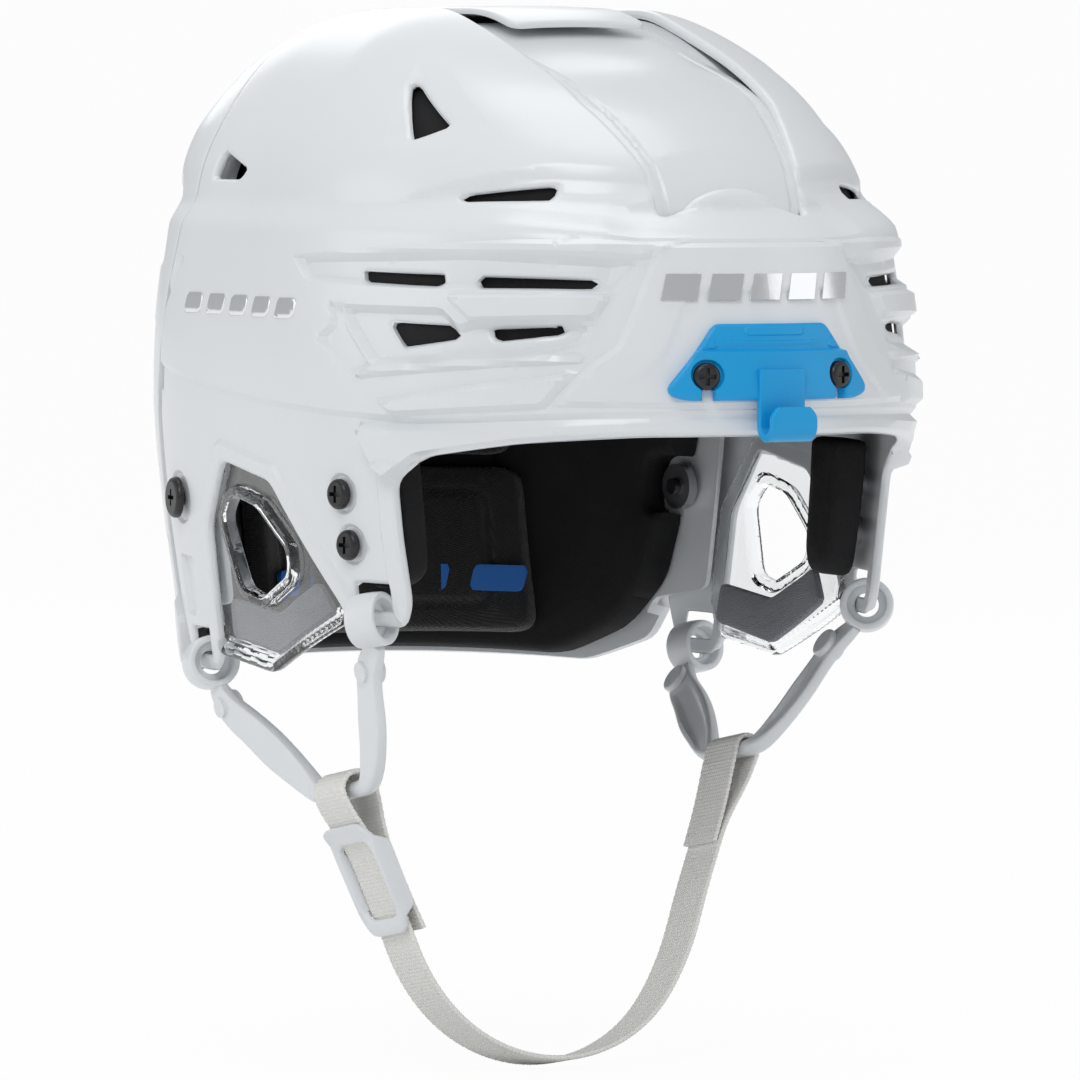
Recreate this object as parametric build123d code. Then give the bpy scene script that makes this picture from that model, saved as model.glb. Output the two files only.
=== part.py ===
from build123d import *
from functools import lru_cache
import math
import os

from_base = (Align.CENTER, Align.CENTER, Align.MIN)

# An ice hockey helmet with its straps, in millimetres, +Z up.
# It faces -Y. The wearer's right is -X. The origin is in the middle plane,
# level with the lower edge of the brow and above the ear openings.

# Outer form of the shell
shell_half_width = 96.0
brow_reach = 148.0
back_reach = 133.5
crown_height = 124.0
skirt_depth = 100.0
ledge_foot_height = 59.0
ledge_top_height = 66.0
dome_half_width = 88.0
dome_front_reach = 125.0
dome_back_reach = 127.0
front_centre_share = 0.104
back_centre_share = 0.417
drop_share = 0.7
slice_height_shares = (0.0, 0.25, 0.47, 0.68, 0.85, 1.0)
slice_width_shares = (0.875, 0.932, 0.974, 1.0, 0.99, 0.958)
slice_front_shares = (0.92, 0.953, 0.98, 1.0, 0.973, 0.936)
slice_back_shares = (0.885, 0.944, 0.98, 1.0, 0.996, 0.975)
dome_height_shares = (0.0, 0.17, 0.38, 0.53, 0.74, 0.87, 0.95, 1.0)
dome_width_shares = (1.0, 0.972, 0.909, 0.847, 0.739, 0.636, 0.523, 0.284)
dome_front_shares = (1.0, 0.968, 0.872, 0.78, 0.56, 0.36, 0.224, 0.1)
dome_back_shares = (1.0, 0.953, 0.882, 0.811, 0.693, 0.567, 0.433, 0.252)
ellipse_weight = math.cos(math.pi / 4)
dome_rear_weights = (ellipse_weight, 0.93, 1.13, 1.2, 1.2, 1.2, 1.2, 1.2)

# Walls and running clearances
shell_wall = 3.0
rear_wall = 2.8
seat_gap = 0.25
running_gap = 0.4
overrun = 30.0
rim_side_proud = 4.0
rim_front_proud = 1.0
rim_root = 1.0

# Front shell in side view, as shares of the reach and height on that side
front_lobe_share = -0.57
rear_lobe_share = -0.76
rear_edge_shares = (
    (0.405, rear_lobe_share), (0.464, -0.60), (0.494, -0.30), (0.494, 0.0), (0.434, 0.282),
    (0.375, 0.532), (0.36, 1.13),
)
front_outline_shares = (
    (-1.15, 0.012), (-0.926, 0.007), (-0.75, -0.017), (-0.56, -0.064), (-0.486, -0.14),
    (-0.485, -0.30), (-0.493, -0.50), (-0.47, front_lobe_share), (-0.318, front_lobe_share),
    (-0.30, -0.515), (-0.08, -0.167), (0.139, -0.116), (0.234, -0.314), (0.234, -0.70),
    (0.27, rear_lobe_share), *rear_edge_shares, (-1.15, 1.13),
)
outline_corner = 3.0
rim_outline_shares = (
    (-1.15, 0.10), (-0.80, 0.085), (-0.40, 0.035), (-0.30, 0.02), (-0.44, -0.10),
    (-0.486, -0.14), (-0.56, -0.064), (-0.75, -0.017), (-0.926, 0.007), (-1.15, 0.012),
)
ledge_outline_shares = (
    (-0.93, 0.476), (-0.34, 0.476), (-0.25, 0.44), (-0.36, 0.40), (-0.90, 0.40),
)
ledge_proud = 2.6
vent_shares = (
    ((-0.376, 0.381), (-0.584, 0.377), (-0.585, 0.345), (-0.389, 0.351)),
    ((-0.653, 0.374), (-0.841, 0.372), (-0.843, 0.345), (-0.659, 0.343)),
    ((-0.465, 0.264), (-0.612, 0.26), (-0.637, 0.23), (-0.555, 0.214), (-0.506, 0.205)),
    ((-0.689, 0.252), (-0.817, 0.263), (-0.81, 0.244), (-0.706, 0.225)),
    ((-0.55, 0.56), (-0.70, 0.588), (-0.70, 0.552), (-0.555, 0.546)),
    ((-0.29, 0.82), (-0.305, 0.822), (-0.45, 0.725), (-0.39, 0.69)),
    ((0.285, 0.65), (0.144, 0.606), (0.17, 0.584), (0.298, 0.582)),
)

# Crown window, its panel and the tongue of the rear shell
window_shares = ((-0.83, 0.252), (-0.775, 0.262), (-0.605, 0.33), (-0.41, 0.345), (0.62, 0.345))
seam = 0.5
panel_sink = 5.7
panel_front_sink = 0.4
panel_wall = 2.2
panel_lap = 6.0
panel_end_share = 0.13
tongue_tip_share = 0.21
tongue_half_width = 23.0
tongue_wall = 1.9
tongue_end_share = 0.45

# Rear shell and its sliding adjustment
rear_sink = 6.5
rear_flush_sink = 0.6
rear_step_gap = 1.5
rear_outline_shares = (
    (0.225, 1.13), (0.225, 0.72), (0.33, 0.70), (0.33, 0.54), (0.225, 0.52), (0.225, 0.15),
    (0.25, -0.05), (0.25, -0.56), (0.46, -0.60), (0.50, -0.72), (0.65, -0.80), (1.15, -0.76),
    (1.15, 1.13),
)
rear_vent_shares = (
    ((0.55, 0.50), (0.78, 0.42), (0.80, 0.36), (0.56, 0.42)),
    ((0.60, 0.18), (0.84, 0.12), (0.84, 0.05), (0.61, 0.09)),
    ((0.52, -0.36), (0.62, -0.38), (0.62, -0.60), (0.55, -0.58)),
)
rear_travel = 10.0
adjust_share = (0.378, -0.24)

# Fasteners
screw_head_radius = 4.5
screw_head_height = 2.2
head_round_share = 0.7
screw_shank_radius = 2.4
screw_length = 12.0
nut_radius = 4.6
nut_height = 3.0
spot_depth = 0.35
thread_gap = 0.12
adjust_head_radius = 6.2
adjust_length = 16.0
adjust_nut_radius = 7.0
adjust_nut_gap = 1.9
recess_length = 5.0
recess_width = 1.2
recess_depth = 1.3
visor_shares = ((-0.335, -0.183), (-0.35, -0.331))
clip_head_radius = 4.0
clip_screw_length = 12.0

# Cage clip on the forehead
clip_half_outline_shares = (
    (0.1875, 0.266), (0.25, 0.202), (0.328, 0.122), (0.318, 0.106),
)
clip_thickness = 3.0
clip_label_shares = ((0.28, 0.28), (0.28, 0.205))
clip_label_drop = 1.2
clip_screw_share = 0.221
clip_screw_height_share = 0.15
clip_seat = 1.8
hook_half_width = 7.5
hook_radius = 2.5
hook_wall = 2.2
hook_height_share = 0.037
hook_mouth_angle = 150.0
hook_stem_share = 0.2
lip_height = 7.0

# Clear ear guards and their pads
guard_shares = (
    (-0.315, -0.475), (-0.09, -0.11), (0.15, -0.055), (0.277, -0.30), (0.277, -0.63),
    (0.235, -0.70), (-0.013, -0.735), (-0.305, -0.56),
)
guard_wall = 2.0
ear_hole_shares = (
    (0.11, -0.213), (-0.011, -0.243), (-0.123, -0.362), (-0.118, -0.434), (0.005, -0.515),
    (0.095, -0.49), (0.16, -0.285),
)
hole_rim_width = 3.6
hole_rim_height = 2.6
ear_pad_shares = (
    (0.209, -0.53), (-0.02, -0.56), (-0.19, -0.45), (-0.245, -0.55), (-0.04, -0.695),
    (0.216, -0.65),
)
ear_pad_wall = 3.0

# Plastic ear loops, hung on the shell's lower corners
hinge_half_width = 83.9
front_hook_share = -0.395
rear_hook_share = 0.337
bridge_height = 4.6
bridge_half_length = 7.6
hoop_inner_radius = 5.9
hoop_wall = 2.0
hoop_width = 9.0
slot_headroom = 1.5
loop_drop = 47.0
bar_offset_share = -0.23
bar_radius = 2.6
leg_width = 9.0
leg_thickness = 3.4
stud_radius = 4.6
stud_height = 2.0
stud_stem_radius = 1.8
stud_cap_radius = 3.0
stud_cap_height = 1.2
stud_drop = 14.0
front_stud_share = -0.82
rear_stud_share = 0.93
channel_width = 3.6
channel_depth = 1.0
channel_start_share = 0.3
channel_end_share = 0.85
left_swing = 35.0
right_swing = 10.0

# Chin strap and its slide buckle
webbing_width = 19.0
webbing_wall = 1.6
webbing_play = 1.2
sewn_length = 28.0
open_play = 1.9
layer_offset = 2.0
layers_meet = 9.0
left_slope = 24.0
right_slope = 20.0
bend_radius = 48.0
buckle_centre = 27.0
buckle_length = 34.0
buckle_rail = 2.8
buckle_bar = 4.5
buckle_wall = 2.0
buckle_mid_wall = 1.5
buckle_mid_length = 7.0
tail_length = 46.0

# Foam and comfort pads
liner_outer = 3.35
liner_inner = 17.0
liner_side_outline_shares = (
    (-1.15, 0.03), (-0.60, 0.0), (-0.40, -0.03), (0.12, -0.03), (0.12, 1.13), (-1.15, 1.13),
)
liner_channel_half_width = 4.0
liner_channel_places_shares = (-0.34, 0.34)
temple_outer = 7.4
temple_inner = 20.0
temple_shares = (
    (-0.445, -0.045), (-0.445, -0.30), (-0.44, -0.43), (-0.40, -0.46), (-0.335, -0.46),
    (-0.30, -0.40), (-0.27, -0.045),
)
rear_liner_inner = 21.0
rear_liner_shares = (
    (0.26, 1.13), (0.26, 0.18), (0.33, -0.02), (0.40, -0.50), (0.60, -0.68), (1.15, -0.62),
    (1.15, 1.13),
)
pad_thickness = 7.0
brow_pad_half_width = 58.0
brow_pad_low_share = 0.045
brow_pad_high_share = 0.20
brow_pad_rear_share = 0.45
crown_pad_half_width = 34.0
crown_pad_front_share = 0.42
crown_pad_back_share = 0.10
crown_pad_low_share = 0.5
side_pad_shares = ((-0.42, 0.06), (0.08, 0.04), (0.06, 0.40), (-0.38, 0.36))
rear_pad_half_width = 48.0
rear_pad_low_share = 0.16
rear_pad_high_share = 0.36
occipital_half_width = 46.0
occipital_low_share = 0.64
occipital_high_share = 0.20
occipital_thickness = 10.0
back_zone_share = 0.55
pad_corner = 6.0

# Plain bars on the forehead
trim_count = 5
trim_half_width_share = 0.33
trim_low_share = 0.325
trim_high_share = 0.385
trim_gap_share = 0.25
trim_proud = 0.8
trim_slant_share = 0.3


def level_size(places, values, place):
    """Value at a place in a table, straight between its rows."""
    rows = list(zip(places, values))
    for (low, first), (high, last) in zip(rows, rows[1:]):
        if place <= high:
            break
    return first + (last - first) * (place - low) / (high - low)


def side_point(y_share, z_share):
    """A point of the side view, from shares of the reach and of the height."""
    reach = back_reach if y_share > 0 else brow_reach
    height = crown_height if z_share > 0 else skirt_depth
    return (y_share * reach, z_share * height)


def level_face(half_width, front, back, height, rear_weight):
    """Level slice of the form: two quarter ellipses in front, straight sides, two fuller quarters behind."""
    front_y = -front_centre_share * half_width
    back_y = back_centre_share * half_width
    front_depth = front + front_y
    weights = [1, rear_weight, 1]
    edges = [
        EllipticalCenterArc((0, front_y), half_width, front_depth, 270, arc_size=90),
        Line((half_width, front_y), (half_width, back_y)),
        Bezier((half_width, back_y), (half_width, back), (0, back), weights=weights),
        Bezier((0, back), (-half_width, back), (-half_width, back_y), weights=weights),
        Line((-half_width, back_y), (-half_width, front_y)),
        EllipticalCenterArc((0, front_y), half_width, front_depth, 180, arc_size=90),
    ]
    return Pos(0, 0, height) * make_face(Wire(edges))


@lru_cache(maxsize=None)
def form(side, front, back, top):
    """Closed body of the helmet's outer form, moved inward by the given depths."""
    drop = drop_share * top
    band_rise = skirt_depth + ledge_foot_height - drop
    base = ledge_top_height - drop
    dome_rise = crown_height - top - base
    band = []
    rows = zip(slice_height_shares, slice_width_shares, slice_front_shares, slice_back_shares)
    for height_share, width_share, front_share, back_share in rows:
        band.append(
            level_face(
                shell_half_width * width_share - side,
                brow_reach * front_share - front,
                back_reach * back_share - back,
                height_share * band_rise - skirt_depth,
                ellipse_weight,
            )
        )
    dome = []
    shares = zip(dome_height_shares, dome_width_shares, dome_front_shares, dome_back_shares)
    for (height_share, width_share, front_share, back_share), weight in zip(shares, dome_rear_weights):
        dome.append(
            level_face(
                (dome_half_width - side) * width_share,
                (dome_front_reach - front) * front_share,
                (dome_back_reach - back) * back_share,
                base + height_share * dome_rise,
                weight,
            )
        )
    lower = loft(band)
    ledge = loft([band[-1], dome[0]], ruled=True)
    upper = loft(dome)
    return lower + ledge + upper


def depth(amount):
    """The form moved inward by one depth all round."""
    return form(amount, amount, amount, amount)


def rear_form(amount):
    """The form that the rear shell follows below the front shell: narrower and lower."""
    inward = rear_sink + amount
    return form(inward, inward, amount, inward)


def rear_body(amount):
    """Closed body of the rear shell, moved inward: it steps out behind the front shell's edge."""
    inward = rear_flush_sink + amount
    edge = [(y + rear_step_gap + amount, z) for y, z in outline(rear_edge_shares)]
    far = back_reach + overrun
    points = [(edge[0][0], -far), *edge, (far, edge[-1][1]), (far, -far)]
    return rear_form(amount) + (form(inward, inward, amount, inward) & side_prism(points))


def side_prism(points, corner=0.0):
    """Outline of the side view, run through the helmet from side to side."""
    outline = make_face(Polyline(*points, close=True))
    if corner:
        outline = fillet(outline.vertices(), corner)
    return extrude(Plane.YZ * outline, shell_half_width + overrun, both=True)


def one_side_prism(points, side, corner=0.0):
    """Outline of the side view, run outward from the middle on one side."""
    outline = make_face(Polyline(*points, close=True))
    if corner:
        outline = fillet(outline.vertices(), corner)
    return extrude(Plane.YZ * outline, side * (shell_half_width + overrun))


def outline(shares):
    """Points of a side view from their shares."""
    return [side_point(*pair) for pair in shares]


def window_points(grow, front_grow):
    """Crown window seen from above, wider by grow on each side."""
    half = []
    for y_share, x_share in window_shares:
        reach = back_reach if y_share > 0 else brow_reach
        half.append((x_share * shell_half_width + grow, y_share * reach))
    half[0] = (half[0][0], half[0][1] - front_grow)
    return half + [(-x, y) for x, y in reversed(half)]


def window_prism(grow, front_grow):
    """Crown window run upward through the dome."""
    face = make_face(Polyline(*window_points(grow, front_grow), close=True))
    base = ledge_top_height - front_grow
    return Pos(0, 0, base) * extrude(face, crown_height)


def zone(low_x, high_x, low_y, high_y, low_z, high_z):
    """Block between six planes."""
    size = (high_x - low_x, high_y - low_y, high_z - low_z)
    middle = ((high_x + low_x) / 2, (high_y + low_y) / 2, (high_z + low_z) / 2)
    return Pos(*middle) * Box(*size)


def rounded_zone(half_width, low_y, high_y, low_z, high_z):
    """Block with round corners in front view, even about the middle plane."""
    face = RectangleRounded(2 * half_width, high_z - low_z, pad_corner)
    plane = Plane((0, high_y, (high_z + low_z) / 2), x_dir=(1, 0, 0), z_dir=(0, -1, 0))
    return extrude(plane * face, high_y - low_y)


def section_at(height):
    """Half width, front reach and back reach of the outer form at one height of the band."""
    rise = skirt_depth + ledge_foot_height
    levels = [share * rise - skirt_depth for share in slice_height_shares]
    widths = [share * shell_half_width for share in slice_width_shares]
    reaches = [share * brow_reach for share in slice_front_shares]
    backs = [share * back_reach for share in slice_back_shares]
    return (
        level_size(levels, widths, height),
        level_size(levels, reaches, height),
        level_size(levels, backs, height),
    )


def side_plane(y, z, side):
    """Plane on the outer form at a side view point, with Z square to the surface outward."""
    width, front, back = section_at(z)
    front_y = -front_centre_share * width
    back_y = back_centre_share * width
    if y < front_y:
        depth_along = front + front_y
        offset = y - front_y
    elif y > back_y:
        depth_along = back - back_y
        offset = y - back_y
    else:
        depth_along = back
        offset = 0
    x = width * math.sqrt(1 - (offset / depth_along) ** 2)
    normal = (side * x / width**2, offset / depth_along**2, 0)
    return Plane((side * x, y, z), x_dir=(0, 0, 1), z_dir=normal)


def brow_plane(x, z):
    """Plane on the outer form at a front view point, with Z square to the surface outward."""
    width, front, _ = section_at(z)
    front_y = -front_centre_share * width
    depth_along = front + front_y
    y = front_y - depth_along * math.sqrt(1 - (x / width) ** 2)
    normal = (x / width**2, (y - front_y) / depth_along**2, 0)
    return Plane((x, y, z), x_dir=(0, 0, 1), z_dir=normal)


def disc_between(plane, radius, low, high):
    """Cylinder on a plane's Z axis, from low to high."""
    return plane * (Pos(0, 0, low) * Cylinder(radius, high - low, align=from_base))


def screw(plane, seat, head_radius, length):
    """Pan head screw with a cross recess, its head seated on a plane's height."""
    head = Pos(0, 0, seat) * Cylinder(head_radius, screw_head_height, align=from_base)
    head = fillet(head.edges().sort_by(Axis.Z)[-1], screw_head_height * head_round_share)
    shank = Pos(0, 0, seat - length) * Cylinder(screw_shank_radius, length, align=from_base)
    cross = Box(recess_length, recess_width, 2 * recess_depth)
    cross = cross + Box(recess_width, recess_length, 2 * recess_depth)
    return plane * (head + shank - Pos(0, 0, seat + screw_head_height) * cross)


def nut(plane, face, radius):
    """Round flanged nut whose outer face lies at the given depth below the plane."""
    low = -face - nut_height
    body = disc_between(plane, radius, low, -face)
    return body - disc_between(plane, screw_shank_radius + thread_gap, low - overrun, overrun)


def visor_planes():
    """Places of the visor screws, wearer's right side first."""
    return [side_plane(*side_point(*pair), side) for side in (-1, 1) for pair in visor_shares]


def adjust_planes():
    """Places of the two size adjusting screws."""
    return [side_plane(*side_point(*adjust_share), side) for side in (-1, 1)]


def clip_planes():
    """Places of the two cage clip screws."""
    x = clip_screw_share * shell_half_width
    z = clip_screw_height_share * crown_height
    return [brow_plane(side * x, z) for side in (-1, 1)]


def hook_points():
    """Middles of the shell bridges that carry a loop, front one first, in side view."""
    front_y = front_hook_share * brow_reach
    rear_y = rear_hook_share * back_reach
    front_z = front_lobe_share * skirt_depth + bridge_height / 2
    rear_z = rear_lobe_share * skirt_depth + bridge_height / 2
    return (front_y, front_z), (rear_y, rear_z)


def hinge_frame(side):
    """Plane at the middle of a loop's hinge line: X runs down, Y sideways, Z back along the hinge."""
    (front_y, front_z), (rear_y, rear_z) = hook_points()
    middle = ((front_y + rear_y) / 2, (front_z + rear_z) / 2)
    along = Vector(0, rear_y - front_y, rear_z - front_z).normalized()
    down = Vector(0, along.Z, -along.Y)
    return Plane((side * hinge_half_width, *middle), x_dir=down, z_dir=along)


def hinge_half_length():
    """Half the distance between the two bridges."""
    (front_y, front_z), (rear_y, rear_z) = hook_points()
    return math.hypot(rear_y - front_y, rear_z - front_z) / 2


def make_front_shell():
    shell = depth(0) - depth(shell_wall)
    rim = form(-rim_side_proud, -rim_front_proud, 0, 0) - depth(rim_root)
    rim = rim & side_prism(outline(rim_outline_shares))
    ledge = form(-ledge_proud, 0, 0, 0) - depth(rim_root)
    ledge = ledge & side_prism(outline(ledge_outline_shares))
    shell = shell & side_prism(outline(front_outline_shares), outline_corner)
    shell = shell + rim + ledge
    shell = shell - window_prism(0, 0)
    for shares in vent_shares:
        shell = shell - side_prism(outline(shares))
    for y, z in hook_points():
        low = z + bridge_height / 2
        high = z + hoop_inner_radius + hoop_wall + slot_headroom
        shell = shell - zone(
            -shell_half_width - overrun, shell_half_width + overrun,
            y - bridge_half_length, y + bridge_half_length, low, high,
        )
    for plane in visor_planes():
        shell = shell - disc_between(plane, screw_shank_radius + running_gap, -overrun, overrun)
        shell = shell - disc_between(plane, screw_head_radius + running_gap, -spot_depth, overrun)
        shell = shell - disc_between(plane, nut_radius + running_gap, -overrun, spot_depth - shell_wall)
    for plane in adjust_planes():
        shell = shell - disc_between(plane, screw_shank_radius + running_gap, -overrun, overrun)
        shell = shell - disc_between(plane, adjust_head_radius + running_gap, -spot_depth, overrun)
    for plane in clip_planes():
        shell = shell - disc_between(plane, screw_shank_radius + running_gap, -overrun, overrun)
        shell = shell - disc_between(plane, nut_radius + running_gap, -overrun, spot_depth - shell_wall)
    return shell


def crown_panel_outer():
    return form(panel_sink, panel_front_sink, panel_sink, panel_sink)


def make_crown_panel():
    end = panel_end_share * back_reach
    keep = zone(-shell_half_width, shell_half_width, -brow_reach, end, 0, crown_height + overrun)
    inner = depth(panel_sink + panel_wall)
    plug = (crown_panel_outer() - inner) & window_prism(-seam, -seam)
    lap = (depth(panel_sink) - inner) & window_prism(panel_lap, panel_lap)
    return (plug + lap) & keep


def make_rear_shell():
    shell = rear_body(0) - rear_body(rear_wall)
    shell = shell & side_prism(outline(rear_outline_shares), outline_corner)
    for shares in rear_vent_shares:
        shell = shell - side_prism(outline(shares))
    tip = -tongue_tip_share * brow_reach
    end = tongue_end_share * back_reach
    top = crown_height + overrun
    tongue = depth(rear_flush_sink) - depth(rear_flush_sink + tongue_wall)
    tongue = tongue & zone(-tongue_half_width, tongue_half_width, tip, end, ledge_top_height, top)
    shell = shell + tongue
    bore = screw_shank_radius + running_gap
    for plane in adjust_planes():
        low = plane.origin - Vector(0, rear_travel + running_gap, 0)
        high = plane.origin + Vector(0, running_gap, 0)
        for place in (low, high):
            moved = Plane(place, plane.x_dir, plane.z_dir)
            shell = shell - disc_between(moved, bore, -overrun, overrun)
        x = plane.origin.X
        shell = shell - zone(x - overrun, x + overrun, low.Y, high.Y, low.Z - bore, low.Z + bore)
    return shell


def make_cage_hook():
    plate = front_prism(clip_half_outline_shares) & form(-clip_thickness, -clip_thickness, 0, 0)
    plate = plate - form(-seat_gap, -seat_gap, 0, 0)
    label_face = clip_label_drop - clip_thickness
    label = front_prism(clip_label_shares) - form(label_face, label_face, 0, 0)
    plate = plate - label
    for plane in clip_planes():
        plate = plate - disc_between(plane, screw_shank_radius + running_gap, -overrun, overrun)
        plate = plate - disc_between(plane, clip_head_radius + running_gap, clip_seat, overrun)
    hook = make_hook() - form(-rim_side_proud - seat_gap, -rim_front_proud - seat_gap, 0, 0)
    return plate + hook


def make_hook():
    """Curled channel below the clip, open upward, with its stem behind and its lip in front."""
    centre_y, centre_z = hook_centre()
    outer_radius = hook_radius + hook_wall
    far = 2 * outer_radius
    half = math.radians(hook_mouth_angle / 2)
    edge_y = far * math.sin(half)
    edge_z = far * math.cos(half)
    corners = ((0, 0), (edge_y, edge_z), (edge_y, 2 * far), (-edge_y, 2 * far), (-edge_y, edge_z))
    ring = Circle(outer_radius) - Circle(hook_radius) - make_face(Polyline(*corners, close=True))
    stem_top = hook_stem_share * crown_height - centre_z
    stem = upright(hook_radius, outer_radius, stem_top)
    lip = upright(-outer_radius, -hook_radius, lip_height)
    plane = Plane((0, centre_y, centre_z), x_dir=(0, 1, 0), z_dir=(1, 0, 0))
    return extrude(plane * (ring + stem + lip), hook_half_width, both=True)


def upright(low, high, top):
    """Upright rectangle that stands on the zero line, in side view."""
    return make_face(Polyline((low, 0), (high, 0), (high, top), (low, top), close=True))


def front_prism(half_shares):
    """Even outline of the front view, given by its left half, run forward through the brow."""
    half = [(x * shell_half_width, z * crown_height) for x, z in half_shares]
    points = half + [(-x, z) for x, z in reversed(half)]
    return extrude(Plane.XZ * make_face(Polyline(*points, close=True)), brow_reach + overrun)


def hook_centre():
    """Middle of the hook's channel in side view."""
    z = hook_height_share * crown_height
    plane = brow_plane(0, z)
    stand = rim_front_proud + seat_gap + hook_wall + hook_radius
    return plane.origin.Y - stand, z


def make_ear_guard(side):
    plate = depth(shell_wall + seat_gap) - depth(shell_wall + seat_gap + guard_wall)
    plate = plate & one_side_prism(outline(guard_shares), side, outline_corner)
    hole = make_face(Polyline(*outline(ear_hole_shares), close=True))
    hole = fillet(hole.vertices(), outline_corner)
    around = offset(hole, hole_rim_width)
    reach = side * (shell_half_width + overrun)
    rim = depth(shell_wall + seat_gap - hole_rim_height) - depth(shell_wall + seat_gap + guard_wall)
    rim = rim & extrude(Plane.YZ * around, reach)
    return plate + rim - extrude(Plane.YZ * hole, reach)


def make_ear_pad(side):
    outer = shell_wall + 2 * seat_gap + guard_wall
    pad = depth(outer) - depth(outer + ear_pad_wall)
    return pad & one_side_prism(outline(ear_pad_shares), side, outline_corner)


def strip_face(points, width):
    """Flat strip of even width with round ends, along straight runs."""
    face = None
    for (x1, y1), (x2, y2) in zip(points, points[1:]):
        length = math.hypot(x2 - x1, y2 - y1)
        turn = math.degrees(math.atan2(y2 - y1, x2 - x1))
        piece = Pos((x1 + x2) / 2, (y1 + y2) / 2) * Rot(0, 0, turn) * SlotCenterToCenter(length, width)
        face = piece if face is None else face + piece
    return face


def loop_layout():
    """Places along the hinge of a loop: bridges, studs, bar and legs, and the legs' lines."""
    half = hinge_half_length()
    bar = bar_offset_share * half
    spread = webbing_width / 2 + webbing_play + leg_width / 2
    front_stud = (stud_drop, front_stud_share * half)
    rear_stud = (stud_drop, rear_stud_share * half)
    start = hoop_inner_radius + hoop_wall
    front = [(start, -half), front_stud, (loop_drop, bar - spread)]
    rear = [(start, half), rear_stud, (loop_drop, bar + spread)]
    return half, bar, spread, front, rear


def leg_plane():
    """Flat of a loop before it swings: X down, Y back along the hinge, Z outward on the left."""
    return Plane((0, 0, 0), x_dir=(1, 0, 0), z_dir=(0, -1, 0))


def swung(side, swing):
    """Place of a loop that hangs inward by an angle from straight down."""
    return hinge_frame(side).location * Rot(0, 0, side * swing)


def make_ear_loop(side, swing):
    half, bar, spread, front, rear = loop_layout()
    outer_radius = hoop_inner_radius + hoop_wall
    flat = leg_plane()
    legs = strip_face(front, leg_width) + strip_face(rear, leg_width)
    body = extrude(flat * (Plane.XY * legs), leg_thickness / 2, both=True)
    for place in (-half, half):
        body = body + Pos(0, 0, place) * Cylinder(outer_radius, hoop_width)
    body = body + Pos(loop_drop, 0, bar) * Cylinder(bar_radius, 2 * spread - leg_width / 2)
    for place in (-half, half):
        body = body - Pos(0, 0, place) * Cylinder(hoop_inner_radius, hoop_width + overrun / 2)
    for line in (front, rear):
        (x1, y1), (x2, y2) = line[1:]
        first = (x1 + (x2 - x1) * channel_start_share, y1 + (y2 - y1) * channel_start_share)
        last = (x1 + (x2 - x1) * channel_end_share, y1 + (y2 - y1) * channel_end_share)
        groove = strip_face([first, last], channel_width)
        deep = Pos(0, side * leg_thickness / 2, 0) * flat * groove
        body = body - extrude(deep, channel_depth, both=True)
    for line in (front, rear):
        x, z = line[1]
        hole = Pos(x, 0, z) * Rot(90, 0, 0) * Cylinder(stud_stem_radius + thread_gap, overrun)
        body = body - hole
    return swung(side, swing) * body


def make_loop_studs(side, swing):
    _, _, _, front, rear = loop_layout()
    studs = []
    for line in (front, rear):
        x, z = line[1]
        face = leg_thickness / 2 + thread_gap
        head = Pos(0, 0, face) * Cylinder(stud_radius, stud_height, align=from_base)
        head = fillet(head.edges().sort_by(Axis.Z)[-1], stud_height / 2)
        stem = Cylinder(stud_stem_radius, 2 * face + stud_cap_height / 2)
        cap = Pos(0, 0, -face - stud_cap_height / 2) * Cylinder(stud_cap_radius, stud_cap_height)
        stud = head + stem + cap
        studs.append(swung(side, swing) * Pos(x, 0, z) * Rot(-90 * side, 0, 0) * stud)
    return studs


def bar_centre(side, swing):
    """Middle of a loop's bar in the strap's plane: sideways and down from the hinge line."""
    turn = math.radians(swing)
    return (side * (hinge_half_width - loop_drop * math.sin(turn)), loop_drop * math.cos(turn))


def strap_plane():
    """Plane of the strap: X to the wearer's left, Y down, at the middle of the bars."""
    frame = hinge_frame(1)
    centre = frame.origin + frame.z_dir * loop_layout()[1]
    sideways = Vector(1, 0, 0)
    return Plane((0, centre.Y, centre.Z), x_dir=sideways, z_dir=sideways.cross(frame.x_dir))


def ribbon(first, last, width):
    """Straight run of webbing seen on edge."""
    (x1, y1), (x2, y2) = first, last
    length = math.hypot(x2 - x1, y2 - y1)
    turn = math.degrees(math.atan2(y2 - y1, x2 - x1))
    return Pos((x1 + x2) / 2, (y1 + y2) / 2) * Rot(0, 0, turn) * SlotCenterToCenter(length, width)


def along(start, slope_vector, side_vector, run, across):
    """Point at a run down a strand and a distance across it."""
    return (
        start[0] + slope_vector[0] * run + side_vector[0] * across,
        start[1] + slope_vector[1] * run + side_vector[1] * across,
    )


def beyond(start, end):
    """Point on the line from start to end, well past the end."""
    return (start[0] + (end[0] - start[0]) * 4, start[1] + (end[1] - start[1]) * 4)


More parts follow.
